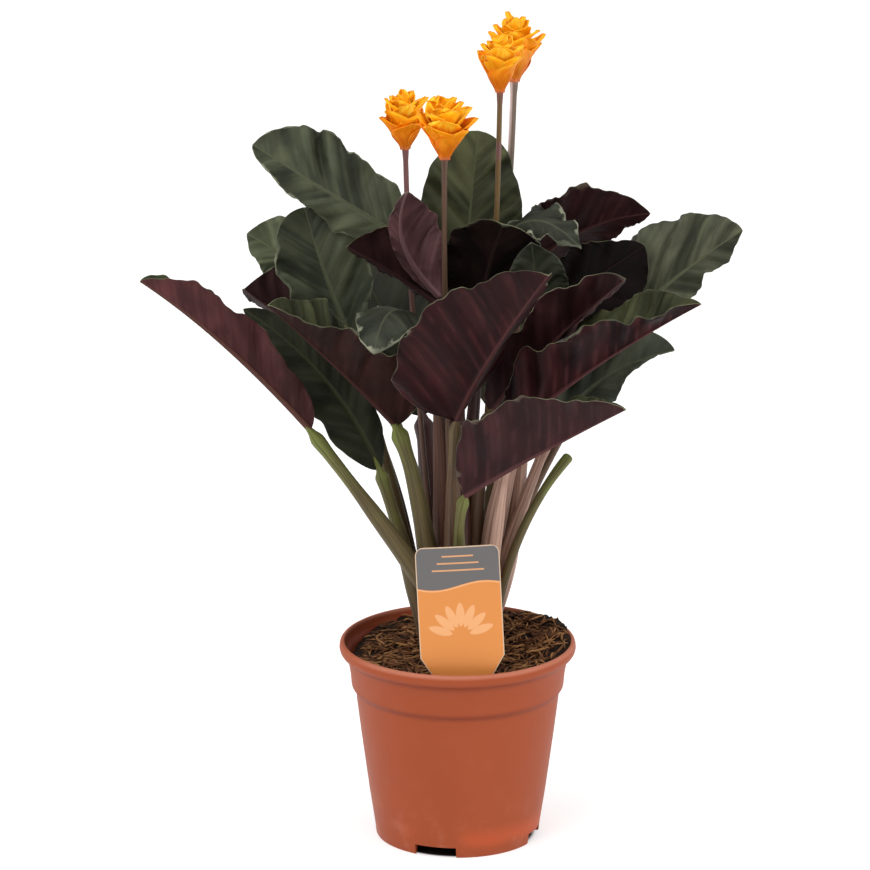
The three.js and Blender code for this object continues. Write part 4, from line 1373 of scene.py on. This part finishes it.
@dataclass
class Flower:
    """A flower: a tall stalk with a head of overlapping pointed bracts."""

    name: str
    form: FlowerForm
    seed: int
    rings: tuple[BractRing, ...] = BRACT_RINGS
    golden_turn: float = 137.5
    ring_turn: float = 12.0
    stalk_sides: int = 14
    stalk_steps: int = 70
    bract_rows: int = 20
    bract_columns: int = 12
    throat: float = 1.7
    full_flare: float = 0.24
    tip_drop: float = 0.1
    tip_power: float = 0.6
    cupping: float = 0.92
    keel: float = 0.4
    ruffle: float = 0.09
    ruffle_pace: float = 4.2
    thickness: Pair = (0.34, 0.16)
    turn_draw: Pair = (0.88, 1.12)
    reach_draw: Pair = (0.86, 1.1)
    top_draw: Pair = (-0.1, 0.01)
    flare_draw: Pair = (0.7, 1.1)
    lean_draw: Pair = (-0.14, 0.14)
    tone_step: float = 0.7

    def upright(self) -> Array:
        """Gives the three directions of the head's own frame, as columns."""
        side = unit(np.cross((0, 1, 0), self.grow))
        return np.stack([side, np.cross(self.grow, side), self.grow], axis=1)

    @property
    def grow(self) -> Array:
        """The way that the stalk points at its top."""
        return unit(triple(self.form.top) - triple(self.form.bend))

    def bract(self, ring: BractRing, angle: float, draw: random.Random) -> tuple[Array, Array]:
        """Works out one bract's outer and inner side in the head's frame.

        Args:
            ring: The turn that it belongs to.
            angle: Where it stands round the head, in radians.
            draw: The source of its small differences.

        Returns:
            The points of both sides, and each one's place along and across the bract.
        """
        form = self.form
        s = np.linspace(0, 1, self.bract_rows + 1)[:, None]
        v = np.linspace(-1, 1, self.bract_columns + 1)[None, :]
        reach = form.radius * ring.reach * draw.uniform(*self.reach_draw)
        top = form.height * (ring.top + draw.uniform(*self.top_draw))
        foot = form.height * ring.foot
        flare = ring.flare * draw.uniform(*self.flare_draw)
        radius = self.throat + (reach - self.throat) * s**0.95 + form.radius * flare * smooth(s, 0.68, 1.0)
        height = foot + (top - foot) * (s - self.tip_drop * flare / self.full_flare * smooth(s, 0.78, 1.0))
        width = form.radius * ring.width * (0.34 + 0.66 * smooth(s, 0.0, 0.6))
        width = width * np.clip((1.015 - s) / 0.34, 0.0, 1.0) ** self.tip_power
        bend = np.maximum(radius * 1.04, width * 0.66)
        lean = v * width / bend
        sideways = bend * np.sin(lean) + draw.uniform(*self.lean_draw) * width * s
        inward = bend * (1 - np.cos(lean)) * self.cupping
        keel = self.keel * (1 - np.abs(v)) * smooth(s, 0.1, 0.5)
        ruffle = np.sin(self.ruffle_pace * v + draw.uniform(0, 6)) * smooth(s, 0.35, 0.9)
        radius = radius - inward + keel + form.radius * self.ruffle * ruffle
        out, along = triple((math.cos(angle), math.sin(angle), 0)), triple((-math.sin(angle), math.cos(angle), 0))
        middle = radius[..., None] * out + sideways[..., None] * along
        middle = middle + (height + 0 * v)[..., None] * triple((0, 0, 1))
        thin = normals(middle) * (self.thickness[0] - self.thickness[1] * s)[..., None]
        both = np.concatenate([(middle + thin).reshape(-1, 3), (middle - thin).reshape(-1, 3)])
        place = np.stack([s + 0 * v, v + 0 * s], axis=-1).reshape(-1, 2)
        return both, np.tile(place, (2, 1))

    def head(self, material: bpy.types.Material) -> bpy.types.Object:
        """Makes the head of bracts.

        Args:
            material: Its material.

        Returns:
            The head.
        """
        draw = random.Random(self.seed)
        turned = self.upright()
        faces, _ = sheet_faces(self.bract_rows, self.bract_columns)
        shell = Shell()
        angle = math.radians(self.form.turn)
        for level, ring in enumerate(self.rings):
            for _ in range(ring.count):
                angle += 2 * math.pi / ring.count * draw.uniform(*self.turn_draw)
                points, places = self.bract(ring, angle, draw)
                tones = np.full((len(points), 2), draw.random())
                tones[:, 1] = points[:, 2] / self.form.height
                shell.add(points @ turned.T + triple(self.form.top), faces, maps={"Bract": places, "Tone": tones})
            angle += math.radians(self.golden_turn / ring.count + self.ring_turn * level)
        head = shell.build(f"{self.name}_flower_head", [material])
        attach(head, BODY)
        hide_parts(f"flower_{self.name}_head")
        return head

    def stalk(self, material: bpy.types.Material) -> bpy.types.Object:
        """Makes the stalk.

        Args:
            material: Its material.

        Returns:
            The stalk.
        """
        share = np.linspace(0, 1, self.stalk_steps + 1)
        top = triple(self.form.top)
        middle = bezier(((*self.form.root, STALK_FOOT), self.form.bend, top), share)
        centres = np.concatenate([middle, [top + self.grow * 1.5, top + self.grow * 6]])
        radii = self.form.stalk * (1.25 - 0.35 * smooth(share, 0.0, 0.5) + 0.3 * smooth(share, 0.97, 1.0))
        radii = np.concatenate([radii, [self.form.stalk * 1.1, 1.0]])
        shell = Shell()
        tube(shell, centres, radii, self.stalk_sides, FLUTING, self.seed * self.tone_step)
        stalk = shell.build(f"{self.name}_flower_stalk", [material])
        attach(stalk, BODY)
        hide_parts(f"flower_{self.name}_stalk")
        return stalk


@dataclass
class Flowers:
    """All the flowers, and the stub of one stem that was cut off."""

    forms: dict[str, FlowerForm]
    first_seed: int = 5
    stub_root: Pair = (18.5, -15)
    stub_bend: Triple = (26, -14, 189)
    stub_top: Triple = (64, -14, 236)
    stub_radius: float = 2.8
    stub_steps: int = 40
    stub_sides: int = 18
    stub_end: tuple[Pair, ...] = ((0.8, 1.0), (1.5, 0.82), (1.9, 0.5))
    stub_tone: float = 4.0

    def stub(self, material: bpy.types.Material) -> bpy.types.Object:
        """Makes the cut stem with its rounded end.

        Args:
            material: Its material.

        Returns:
            The stub.
        """
        share = np.linspace(0, 1, self.stub_steps + 1)
        top = triple(self.stub_top)
        ahead = unit(top - triple(self.stub_bend))
        middle = bezier(((*self.stub_root, STALK_FOOT), self.stub_bend, self.stub_top), share)
        radii = self.stub_radius * (1.2 - 0.3 * smooth(share, 0, 0.4) + 0.2 * smooth(share, 0.8, 1.0))
        centres = np.concatenate([middle, [top + ahead * far for far, _ in self.stub_end]])
        radii = np.concatenate([radii, [self.stub_radius * wide for _, wide in self.stub_end]])
        shell = Shell()
        tube(shell, centres, radii, self.stub_sides, FLUTING, self.stub_tone)
        stub = shell.build("cut_stub", [material])
        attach(stub, BODY)
        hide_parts("cut_stem_stub")
        return stub

    def build(self) -> list[bpy.types.Object]:
        """Makes every flower and the stub.

        Returns:
            The heads, the stalks and the stub.
        """
        orange = BractSkin().material()
        made = []
        for seed, (name, form) in enumerate(self.forms.items(), self.first_seed):
            flower = Flower(name, form, seed)
            made.append(flower.head(orange))
            made.append(flower.stalk(form.tone.value.material(f"flower_stalk_{form.tone.name.lower()}")))
        made.append(self.stub(StemTone.LEAFY.value.material("cut_stub")))
        return made


# ------------------------------------------------------------------ pot, soil and card


GOLDEN = (1 + math.sqrt(5)) / 2
KNOB_REACH = 1.9
KNOBS: tuple[Triple, ...] = (
    (-1, GOLDEN, 0), (1, GOLDEN, 0), (-1, -GOLDEN, 0), (1, -GOLDEN, 0), (0, -1, GOLDEN), (0, 1, GOLDEN),
    (0, -1, -GOLDEN), (0, 1, -GOLDEN), (GOLDEN, 0, -1), (GOLDEN, 0, 1), (-GOLDEN, 0, -1), (-GOLDEN, 0, 1),
)
KNOB_FACES: tuple[Face, ...] = (
    (0, 11, 5), (0, 5, 1), (0, 1, 7), (0, 7, 10), (0, 10, 11), (1, 5, 9), (5, 11, 4), (11, 10, 2), (10, 7, 6),
    (7, 1, 8), (3, 9, 4), (3, 4, 2), (3, 2, 6), (3, 6, 8), (3, 8, 9), (4, 9, 5), (2, 4, 11), (6, 2, 10),
    (8, 6, 7), (9, 8, 1),
)


@dataclass
class Pot:
    """The round nursery pot, turned in one piece, with notches under its foot.

    Its section is given as radius and height: from the middle of its underside, up its outside, over
    the lip and down its inside to the middle of its floor.
    """

    under: tuple[Pair, ...] = ((0, 0), (15.4, 0), (16, 0.4), (17.5, 5.2), (44, 5.2), (45.3, 0.4), (45.9, 0))
    outside: tuple[Pair, ...] = (
        (47.6, 0), (48.2, 0.25), (48.5, 0.8), (49.2, 7), (50.75, 17), (52.3, 27), (54.8, 45.5), (57.3, 64),
        (59.9, 85), (60.1, 88.0), (60.3, 89.4), (60.7, 90.4), (61.4, 91.2), (62.2, 91.9), (62.7, 92.8),
        (62.95, 94.2), (63.5, 100.5), (64.7, 107.2), (65.2, 109.2), (65.7, 110.6), (66.6, 111.6),
        (67.8, 112.3), (68.9, 113.1), (69.6, 114.2), (70, 115.8), (69.9, 117.4), (69.5, 118.8),
        (68.9, 119.6), (68.2, 120),
    )
    inside: tuple[Pair, ...] = (
        (67.4, 120), (66.9, 119.5), (66.7, 118.4), (66.4, 114.5), (65.6, 113.0), (64.3, 111.8), (63.5, 110.2),
        (62.9, 107.5), (61.7, 101), (61.1, 94.4), (60.4, 92.8), (59.0, 91.6), (58.5, 89.5), (58.1, 85),
        (55.5, 64), (50.5, 27), (47.6, 8), (46.6, 7), (0, 7),
    )
    segments: int = 144
    notches: int = 4
    first_notch: float = -16.0
    notch_width: float = 25.0
    notch_depths: Pair = (-1.0, 6.5)
    notch_radii: Pair = (39.0, 54.5)
    crease_degrees: float = 38.0

    def turned(self) -> Shell:
        """Turns the section about the pot's axis.

        Returns:
            The closed shell.
        """
        profile = self.under + self.outside + self.inside
        angles = np.arange(self.segments) * 2 * math.pi / self.segments
        rings = [np.stack([radius * np.sin(angles), -radius * np.cos(angles), np.full_like(angles, height)], axis=1)
                 for radius, height in profile[1:-1]]
        below, above = ([triple((0, 0, profile[end][1]))] for end in (0, -1))
        shell = Shell()
        shell.add(np.concatenate([below, *rings, above]), turned_faces(len(rings), self.segments))
        return shell

    def cutter(self, turn: float) -> bpy.types.Object:
        """Makes the block that one notch is cut with.

        Args:
            turn: How far it is turned about the pot's axis, in radians.

        Returns:
            The block.
        """
        half = self.notch_width / 2
        corners = [(x, -radius, z) for radius in self.notch_radii for z in self.notch_depths for x in (-half, half)]
        cosine, sine = math.cos(turn), math.sin(turn)
        points = np.array([(x * cosine - y * sine, x * sine + y * cosine, z) for x, y, z in corners])
        faces = [(2, 3, 1, 0), (7, 6, 4, 5), (5, 4, 0, 1), (6, 7, 3, 2), (4, 6, 2, 0), (7, 5, 1, 3)]
        shell = Shell()
        shell.add(points, faces)
        return shell.build("notch_cutter", [])

    def build(self) -> bpy.types.Object:
        """Makes the pot and cuts its notches.

        Returns:
            The pot.
        """
        pot = self.turned().build("nursery_pot", [PotPlastic().material()])
        for k in range(self.notches):
            cutter = self.cutter(math.radians(self.first_notch) + 2 * math.pi * k / self.notches)
            cut = pot.modifiers.new("notch", "BOOLEAN")
            cut.operation, cut.solver, cut.object = "DIFFERENCE", "EXACT", cutter
            graph = bpy.context.evaluated_depsgraph_get()
            mesh = bpy.data.meshes.new_from_object(pot.evaluated_get(graph))
            pot.modifiers.clear()
            pot.data = mesh
            bpy.data.objects.remove(cutter)
        pot.data.set_sharp_from_angle(angle=math.radians(self.crease_degrees))
        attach(pot, BODY)
        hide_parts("pot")
        return pot


@dataclass
class Soil:
    """The potting mix: a lumpy crown with fibres and chips of bark on it.

    The wall is how far out the soil may reach inside the pot, as heights and radii.
    """

    crown: float = 111.7
    crown_radius: float = 29.0
    slope: float = 32.0
    dip: float = -2.6
    mound: float = 9.0
    mound_degrees: float = 30.0
    mound_power: float = 1.6
    lump_heights: Pair = (1.1, 0.8)
    quiet_radius: float = 26.0
    quiet_share: float = 0.35
    coarse_size: float = 9.0
    coarse_height: float = 1.9
    fine_size: float = 2.6
    fine_height: float = 0.9
    fine_start: Triple = (7, 3, 1)
    wall_heights: tuple[float, ...] = (
        7, 27, 64, 85, 89.5, 91.6, 92.8, 94.4, 101, 107.5, 110.2, 111.8, 113, 114.5, 119.5, 125)
    wall_radii: tuple[float, ...] = (
        47.4, 50.5, 55.5, 58.1, 58.5, 59, 60.4, 61.1, 61.7, 62.9, 63.5, 64.3, 65.6, 66.4, 66.9, 67.6)
    wall_gap: float = 0.25
    loose_gap: float = 0.4
    rim_radius: float = 63.2
    segments: int = 200
    rings: int = 62
    ring_power: float = 0.8
    lower_rings: tuple[float, ...] = (100.0, 94.4, 91.4, 64.0, 27.0, 7.4)
    spread: float = 65.5
    fibres: int = 1040
    fibre_steps: int = 6
    fibre_sides: int = 5
    fibre_inner: float = 6.0
    fibre_length: Pair = (8, 24)
    fibre_bend: Pair = (-0.5, 0.5)
    fibre_width: Pair = (0.34, 0.9)
    fibre_tilt: Pair = (-0.18, 0.26)
    fibre_arch: Pair = (0.2, 3.2)
    fibre_lift: float = 0.7
    chips: int = 210
    chip_inner: float = 3.0
    chip_sizes: tuple[Pair, ...] = ((1.4, 5.0), (1.0, 2.8), (0.5, 1.6))
    chip_bumps: Pair = (0.7, 1.2)
    chip_lift: Pair = (0.1, 0.9)
    chip_crease: float = 20.0
    seed: int = 11

    def level(self, radius: float, angle: float) -> float:
        """Gives the height of the smooth soil.

        Args:
            radius: Distance from the pot's axis, in millimetres.
            angle: Direction from +X, in radians.

        Returns:
            The height.
        """
        out = min(max((radius - self.crown_radius) / self.slope, 0), 1)
        share = (0.5 + 0.5 * math.cos(angle - math.radians(self.mound_degrees))) ** self.mound_power
        rise = self.dip + (self.mound - self.dip) * share
        broad, small = self.lump_heights
        lumps = broad * math.sin(3 * angle + 0.7) + small * math.sin(7 * angle + radius / 6)
        return self.crown + out * (rise + lumps)

    def height(self, x: float, y: float) -> float:
        """Gives the height of the rough soil.

        Args:
            x: Distance right of the pot's axis, in millimetres.
            y: Distance behind it.

        Returns:
            The height.
        """
        place = Vector((x, y, 0.0))
        radius = math.hypot(x, y)
        coarse = noise.fractal(place / self.coarse_size, 0.8, 2.0, 3) * self.coarse_height
        fine = noise.noise(place / self.fine_size + Vector(self.fine_start)) * self.fine_height
        quiet = self.quiet_share if radius < self.quiet_radius else 1.0
        return self.level(radius, math.atan2(y, x)) + quiet * (coarse + fine)

    def wall(self, height: float) -> float:
        """Gives how far out the soil may reach at a height inside the pot."""
        return float(np.interp(height, self.wall_heights, self.wall_radii)) - self.wall_gap

    def crust(self, material: bpy.types.Material) -> bpy.types.Object:
        """Makes the body of the soil, whose top is rough.

        Args:
            material: Its material.

        Returns:
            The body.
        """
        angles = np.arange(self.segments) * 2 * math.pi / self.segments
        points = [(0.0, 0.0, self.height(0, 0))]
        for ring in range(1, self.rings + 1):
            for angle in angles:
                cosine, sine = math.cos(angle), math.sin(angle)
                reach = self.rim_radius
                for _ in range(2):
                    reach = self.wall(self.height(reach * cosine, reach * sine))
                radius = reach * (ring / self.rings) ** self.ring_power
                x, y = radius * cosine, radius * sine
                points.append((x, y, self.height(x, y)))
        for height in self.lower_rings:
            radius = self.wall(height)
            points.extend((radius * math.cos(a), radius * math.sin(a), height) for a in angles)
        points.append((0.0, 0.0, self.lower_rings[-1]))
        shell = Shell()
        shell.add(np.array(points), turned_faces(self.rings + len(self.lower_rings), self.segments, inward=True))
        return shell.build("potting_soil", [material])

    def spot(self, draw: random.Random, inner: float) -> Pair:
        """Draws a place on the soil, evenly over its top.

        Args:
            draw: The source of chance.
            inner: The least distance from the pot's axis.

        Returns:
            The place.
        """
        radius = math.sqrt(draw.uniform(inner**2, self.spread**2))
        angle = draw.uniform(0, 2 * math.pi)
        return radius * math.cos(angle), radius * math.sin(angle)

    def strands(self, material: bpy.types.Material) -> bpy.types.Object:
        """Makes the loose fibres that lie on the soil.

        Args:
            material: Their material.

        Returns:
            The fibres, as one piece.
        """
        draw = random.Random(self.seed)
        shell = Shell()
        places = [k / self.fibre_steps - 0.5 for k in range(self.fibre_steps + 1)]
        taper = 1 - 0.75 * np.abs(np.linspace(-1, 1, self.fibre_steps + 1)) ** 3
        for _ in range(self.fibres):
            x, y = self.spot(draw, self.fibre_inner)
            length, yaw = draw.uniform(*self.fibre_length), draw.uniform(0, 2 * math.pi)
            bend, thick = draw.uniform(*self.fibre_bend), draw.uniform(*self.fibre_width) ** 1.2
            tilt, arch = draw.uniform(*self.fibre_tilt), draw.uniform(*self.fibre_arch)
            tone = draw.random() ** 1.5
            turns = [yaw + bend * (length * place) / length for place in places]
            spots = [(x + length * place * math.cos(turn), y + length * place * math.sin(turn))
                     for place, turn in zip(places, turns)]
            reach = [math.hypot(*spot) for spot in spots]
            if max(r - self.wall(self.level(r, math.atan2(y, x))) for r in reach) > -self.loose_gap:
                continue
            heights = [self.height(*spot) for spot in spots]
            mean = sum(heights) / len(heights)
            lies = [0.5 * own + 0.5 * mean + self.fibre_lift for own in heights]
            line = [(*spot, low + tilt * place * length + arch * (0.25 - place**2))
                    for spot, low, place in zip(spots, lies, places)]
            tube(shell, np.array(line), thick * taper, self.fibre_sides, tone=tone)
        return shell.build("soil_fibres", [material])

    def crumbs(self, material: bpy.types.Material) -> bpy.types.Object:
        """Makes the chips of bark and crumbs that lie on the soil.

        Args:
            material: Their material.

        Returns:
            The chips, as one piece.
        """
        draw = random.Random(self.seed + 1)
        shell = Shell()
        for _ in range(self.chips):
            x, y = self.spot(draw, self.chip_inner)
            size = [draw.uniform(*span) for span in self.chip_sizes]
            yaw = draw.uniform(0, math.pi)
            bumps = np.array([[draw.uniform(*self.chip_bumps)] for _ in KNOBS])
            lump = np.array(KNOBS) / KNOB_REACH * bumps * np.array(size)
            tone = draw.random() ** 2
            place = triple((x, y, self.height(x, y) + draw.uniform(*self.chip_lift)))
            if math.hypot(x, y) + size[0] > self.wall(place[2]) - self.loose_gap:
                continue
            cosine, sine = math.cos(yaw), math.sin(yaw)
            turned = np.stack([lump[:, 0] * cosine - lump[:, 1] * sine, lump[:, 0] * sine + lump[:, 1] * cosine,
                               lump[:, 2]], axis=1)
            shell.add(turned + place, KNOB_FACES, maps={"Tone": np.full((len(KNOBS), 2), tone)})
        return shell.build("soil_chips", [material], self.chip_crease)

    def build(self) -> list[bpy.types.Object]:
        """Makes the soil and all that lies on it.

        Returns:
            The body of the soil, the fibres and the chips.
        """
        earth = Crumble(shade(18, 11, 8), shade(40, 26, 17), shade(64, 43, 28), 240.0, toned=False)
        straw = Crumble(shade(54, 32, 19), shade(102, 64, 39), shade(164, 118, 74), 300.0, roughness=0.85)
        bark = Crumble(shade(24, 14, 10), shade(56, 34, 22), shade(92, 60, 36), 320.0)
        crust = self.crust(earth.material("soil_earth"))
        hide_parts("soil")
        fibres = self.strands(straw.material("soil_straw"))
        chips = self.crumbs(bark.material("soil_bark"))
        pieces = [crust, fibres, chips]
        for piece in pieces:
            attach(piece, BODY)
        return pieces


@dataclass
class Card:
    """The plastic card that is stuck in the soil, with a spike below."""

    width: float = 49.0
    height: float = 79.0
    thickness: float = 0.9
    corner: float = 5.0
    chamfer: float = 8.0
    chamfer_height: float = 13.0
    spike_width: float = 16.0
    spike_top: float = 3.0
    spike_length: float = 16.0
    spike_point: Pair = (5.0, 3.0)
    lean: float = 4.0
    turn: float = -3.0
    place: Triple = (3.3, -57, 115)
    bow: float = 1.1
    edge_power: int = 30
    columns: int = 48
    rows: int = 40
    corner_rows: int = 9
    crease_degrees: float = 40.0

    @property
    def marks(self) -> tuple[float, ...]:
        """The heights at which the outline turns a corner, from its spike's end up."""
        low = -self.spike_length
        return low, low + self.spike_point[0], -self.spike_top, 0, self.chamfer_height, self.height - self.corner

    def half_width(self, height: float) -> float:
        """Gives half the card's width.

        Args:
            height: A height above the card's lower edge.

        Returns:
            The half width there.
        """
        half, narrow = self.width / 2, self.spike_width / 2
        halves = (narrow - self.spike_point[1], narrow, narrow, half - self.chamfer, half, half)
        top = self.marks[-1]
        if height <= top:
            return float(np.interp(height, self.marks, halves))
        rise = min((height - top) / self.corner, 1)
        return half - self.corner * (1 - math.sqrt(1 - rise**2))

    def heights(self) -> Array:
        """Gives the heights at which the card's outline is taken.

        Returns:
            The heights, from the spike's end to the card's top.
        """
        straight = np.linspace(self.marks[0], self.marks[-1], self.rows)
        arc = self.marks[-1] + self.corner * np.sin(np.linspace(0, math.pi / 2, self.corner_rows)[1:])
        return np.unique(np.concatenate([straight, self.marks[1:-1], arc]))

    def leaned(self, x: Array, y: Array, z: Array) -> Array:
        """Turns the card in its own plane and leans it back.

        Args:
            x: Distance right of its middle.
            y: Distance behind it.
            z: Height above its lower edge.

        Returns:
            The points, one row each, about the middle of its lower edge.
        """
        tilt, spin = math.radians(self.lean), math.radians(self.turn)
        along, up = x * math.cos(spin) + z * math.sin(spin), z * math.cos(spin) - x * math.sin(spin)
        back = y * math.cos(tilt) + up * math.sin(tilt)
        return np.stack([along, back, up * math.cos(tilt) - y * math.sin(tilt)], axis=-1).reshape(-1, 3)

    def build(self) -> bpy.types.Object:
        """Makes the card.

        Returns:
            The card.
        """
        heights = self.heights()
        across = np.linspace(-1, 1, self.columns + 1)
        halves = np.array([self.half_width(h) for h in heights])
        x = halves[:, None] * across[None, :]
        z = heights[:, None] + 0 * x
        bowed = self.bow * (x / (self.width / 2)) ** 2 - 0.5 * self.bow
        thick = self.thickness * (1 - 0.5 * np.abs(across)[None, :] ** self.edge_power)
        sides = [self.leaned(x, bowed + level * thick, z) for level in (-0.5, 0.5)]
        faces, _ = sheet_faces(len(heights) - 1, self.columns)
        places = np.stack([x / CENTIMETRE, z / CENTIMETRE], axis=-1).reshape(-1, 2)
        from_end = np.minimum(self.height - z, z + self.spike_length)
        inner = np.minimum(halves[:, None] - np.abs(x), from_end).reshape(-1, 1) + np.zeros((1, 2))
        shell = Shell()
        shell.add(np.concatenate(sides) + triple(self.place), faces,
                  maps={"Card": np.tile(places, (2, 1)), "Side": np.tile(inner, (2, 1))})
        card = shell.build("care_card", [CardPrint().material()], self.crease_degrees)
        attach(card, BODY)
        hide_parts("plant_label")
        return card


# ------------------------------------------------------------------ studio


@dataclass(frozen=True)
class SoftBox:
    """A square studio light that looks at the plant."""

    name: str
    place: Triple
    size: float
    power: float


@dataclass
class Studio:
    """The pale floor, the soft lights and the camera."""

    target: Triple = (-13.4, 0.0, 245.8)
    distance: float = 3200.0
    pitch: float = 16.3
    lens: float = 226.2
    sensor: float = 36.0
    far_clip: float = 100.0
    lights: tuple[SoftBox, ...] = (
        SoftBox("key", (-1000, -1300, 1700), 1300, 19),
        SoftBox("fill", (1600, -700, 1000), 1100, 13),
        SoftBox("left", (-1700, 0, 800), 1000, 4),
    )
    ceiling: float = 1.6
    ceiling_degrees: float = 70.0
    ceiling_place: Triple = (0, -100, 2500)
    sky_light: float = 0.49
    haze: float = 0.04
    floor_half: float = 12000.0
    floor_shade: int = 208
    floor_drift: int = 3
    floor_glow: float = 0.45
    under_pot_shade: Colour = shade(30, 26, 24)
    under_radius: float = 47.0
    under_edge: float = 3.0

    def put(self, name: str, data: bpy.types.ID, place: Array) -> bpy.types.Object:
        """Adds a light or a camera, and turns it to the target.

        Args:
            name: Its name.
            data: The light or the camera.
            place: Where it stands, in millimetres.

        Returns:
            The new object.
        """
        thing = bpy.data.objects.new(name, data)
        bpy.context.scene.collection.objects.link(thing)
        thing.location = place * METRES
        look = Vector(triple(self.target) * METRES) - thing.location
        thing.rotation_euler = look.to_track_quat("-Z", "Y").to_euler()
        return thing

    def camera(self) -> None:
        """Makes the camera and gives it to the scene."""
        tilt = math.radians(self.pitch)
        lens = bpy.data.cameras.new("camera")
        lens.lens, lens.sensor_width, lens.clip_end = self.lens, self.sensor, self.far_clip
        back = np.array([0, -math.cos(tilt), math.sin(tilt)]) * self.distance
        bpy.context.scene.camera = self.put("camera", lens, triple(self.target) + back)

    def light(self) -> None:
        """Makes the soft boxes and the even light from above."""
        for box in self.lights:
            lamp = bpy.data.lights.new(box.name, "AREA")
            lamp.energy, lamp.size = box.power, box.size * METRES
            self.put(box.name, lamp, triple(box.place))
        above = bpy.data.lights.new("ceiling", "SUN")
        above.energy, above.angle = self.ceiling, math.radians(self.ceiling_degrees)
        self.put("ceiling", above, triple(self.ceiling_place))

    def sky(self) -> None:
        """Makes the sky, which is brightest low down so that the floor runs into it."""
        world = bpy.data.worlds.new("sky")
        world.use_nodes = True
        nodes, links = world.node_tree.nodes, world.node_tree.links
        sky = nodes["Background"]
        sky.inputs["Color"].default_value = WHITE
        split, ramp = nodes.new("ShaderNodeSeparateXYZ"), nodes.new("ShaderNodeMapRange")
        links.new(nodes.new("ShaderNodeTexCoord").outputs["Generated"], split.inputs[0])
        links.new(split.outputs["Z"], ramp.inputs["Value"])
        for socket, value in zip(ramp.inputs[1:5], (self.haze, 2 * self.haze, 1.0, self.sky_light)):
            socket.default_value = value
        links.new(ramp.outputs[0], sky.inputs["Strength"])
        bpy.context.scene.world = world

    def floor(self) -> None:
        """Makes the pale floor, which glows a little except under the pot, where it has a dark patch of painted
        shade.
        """
        half = self.floor_half
        shell = Shell()
        shell.add(np.array([(-half, -half, 0), (half, -half, 0), (half, half, 0), (-half, half, 0)]), [(0, 1, 2, 3)])
        bench = Bench("floor_paper", 0.9, 0.2)
        cloud = bench.grain(bench.place(), 3.0, 1.0)
        low, high = (shade(tone, tone, tone) for tone in (self.floor_shade, self.floor_shade + self.floor_drift))
        colour = bench.blend(bench.band(cloud, 0.3, 0.7), low, high)
        east, north, _ = bench.node("SeparateXYZ", bench.place()).outputs
        away = bench.math("SQRT", bench.plus(bench.math("POWER", east, 2.0), bench.math("POWER", north, 2.0)))
        out = bench.band(away, (self.under_radius - self.under_edge) * METRES, self.under_radius * METRES)
        bench.shader.inputs["Emission Color"].default_value = WHITE
        bench.feed(bench.shader.inputs["Emission Strength"], bench.times(out, self.floor_glow))
        # A dark patch of painted shade under the pot, seen through its notches.
        paper = shell.build("floor", [bench.finish(bench.blend(out, self.under_pot_shade, colour))])

    def build(self) -> None:
        """Makes the whole studio."""
        self.camera()
        self.light()
        self.sky()
        self.floor()
        bpy.context.scene.view_settings.view_transform = "Standard"


def report(pieces: Iterable[bpy.types.Object]) -> None:
    """Logs each piece with its number of faces."""
    for piece in pieces:
        log.info("%s: %d faces", piece.name, len(piece.data.polygons))


def main() -> None:
    """Builds the studio and the plant."""
    logging.basicConfig(level=logging.INFO, format="%(name)s %(message)s")
    Studio().build()
    report([Pot().build()])
    report(Soil().build())
    report([Card().build()])
    report(Foliage(LEAVES).build())
    report(Flowers(FLOWERS).build())


if __name__ == "__main__":
    main()
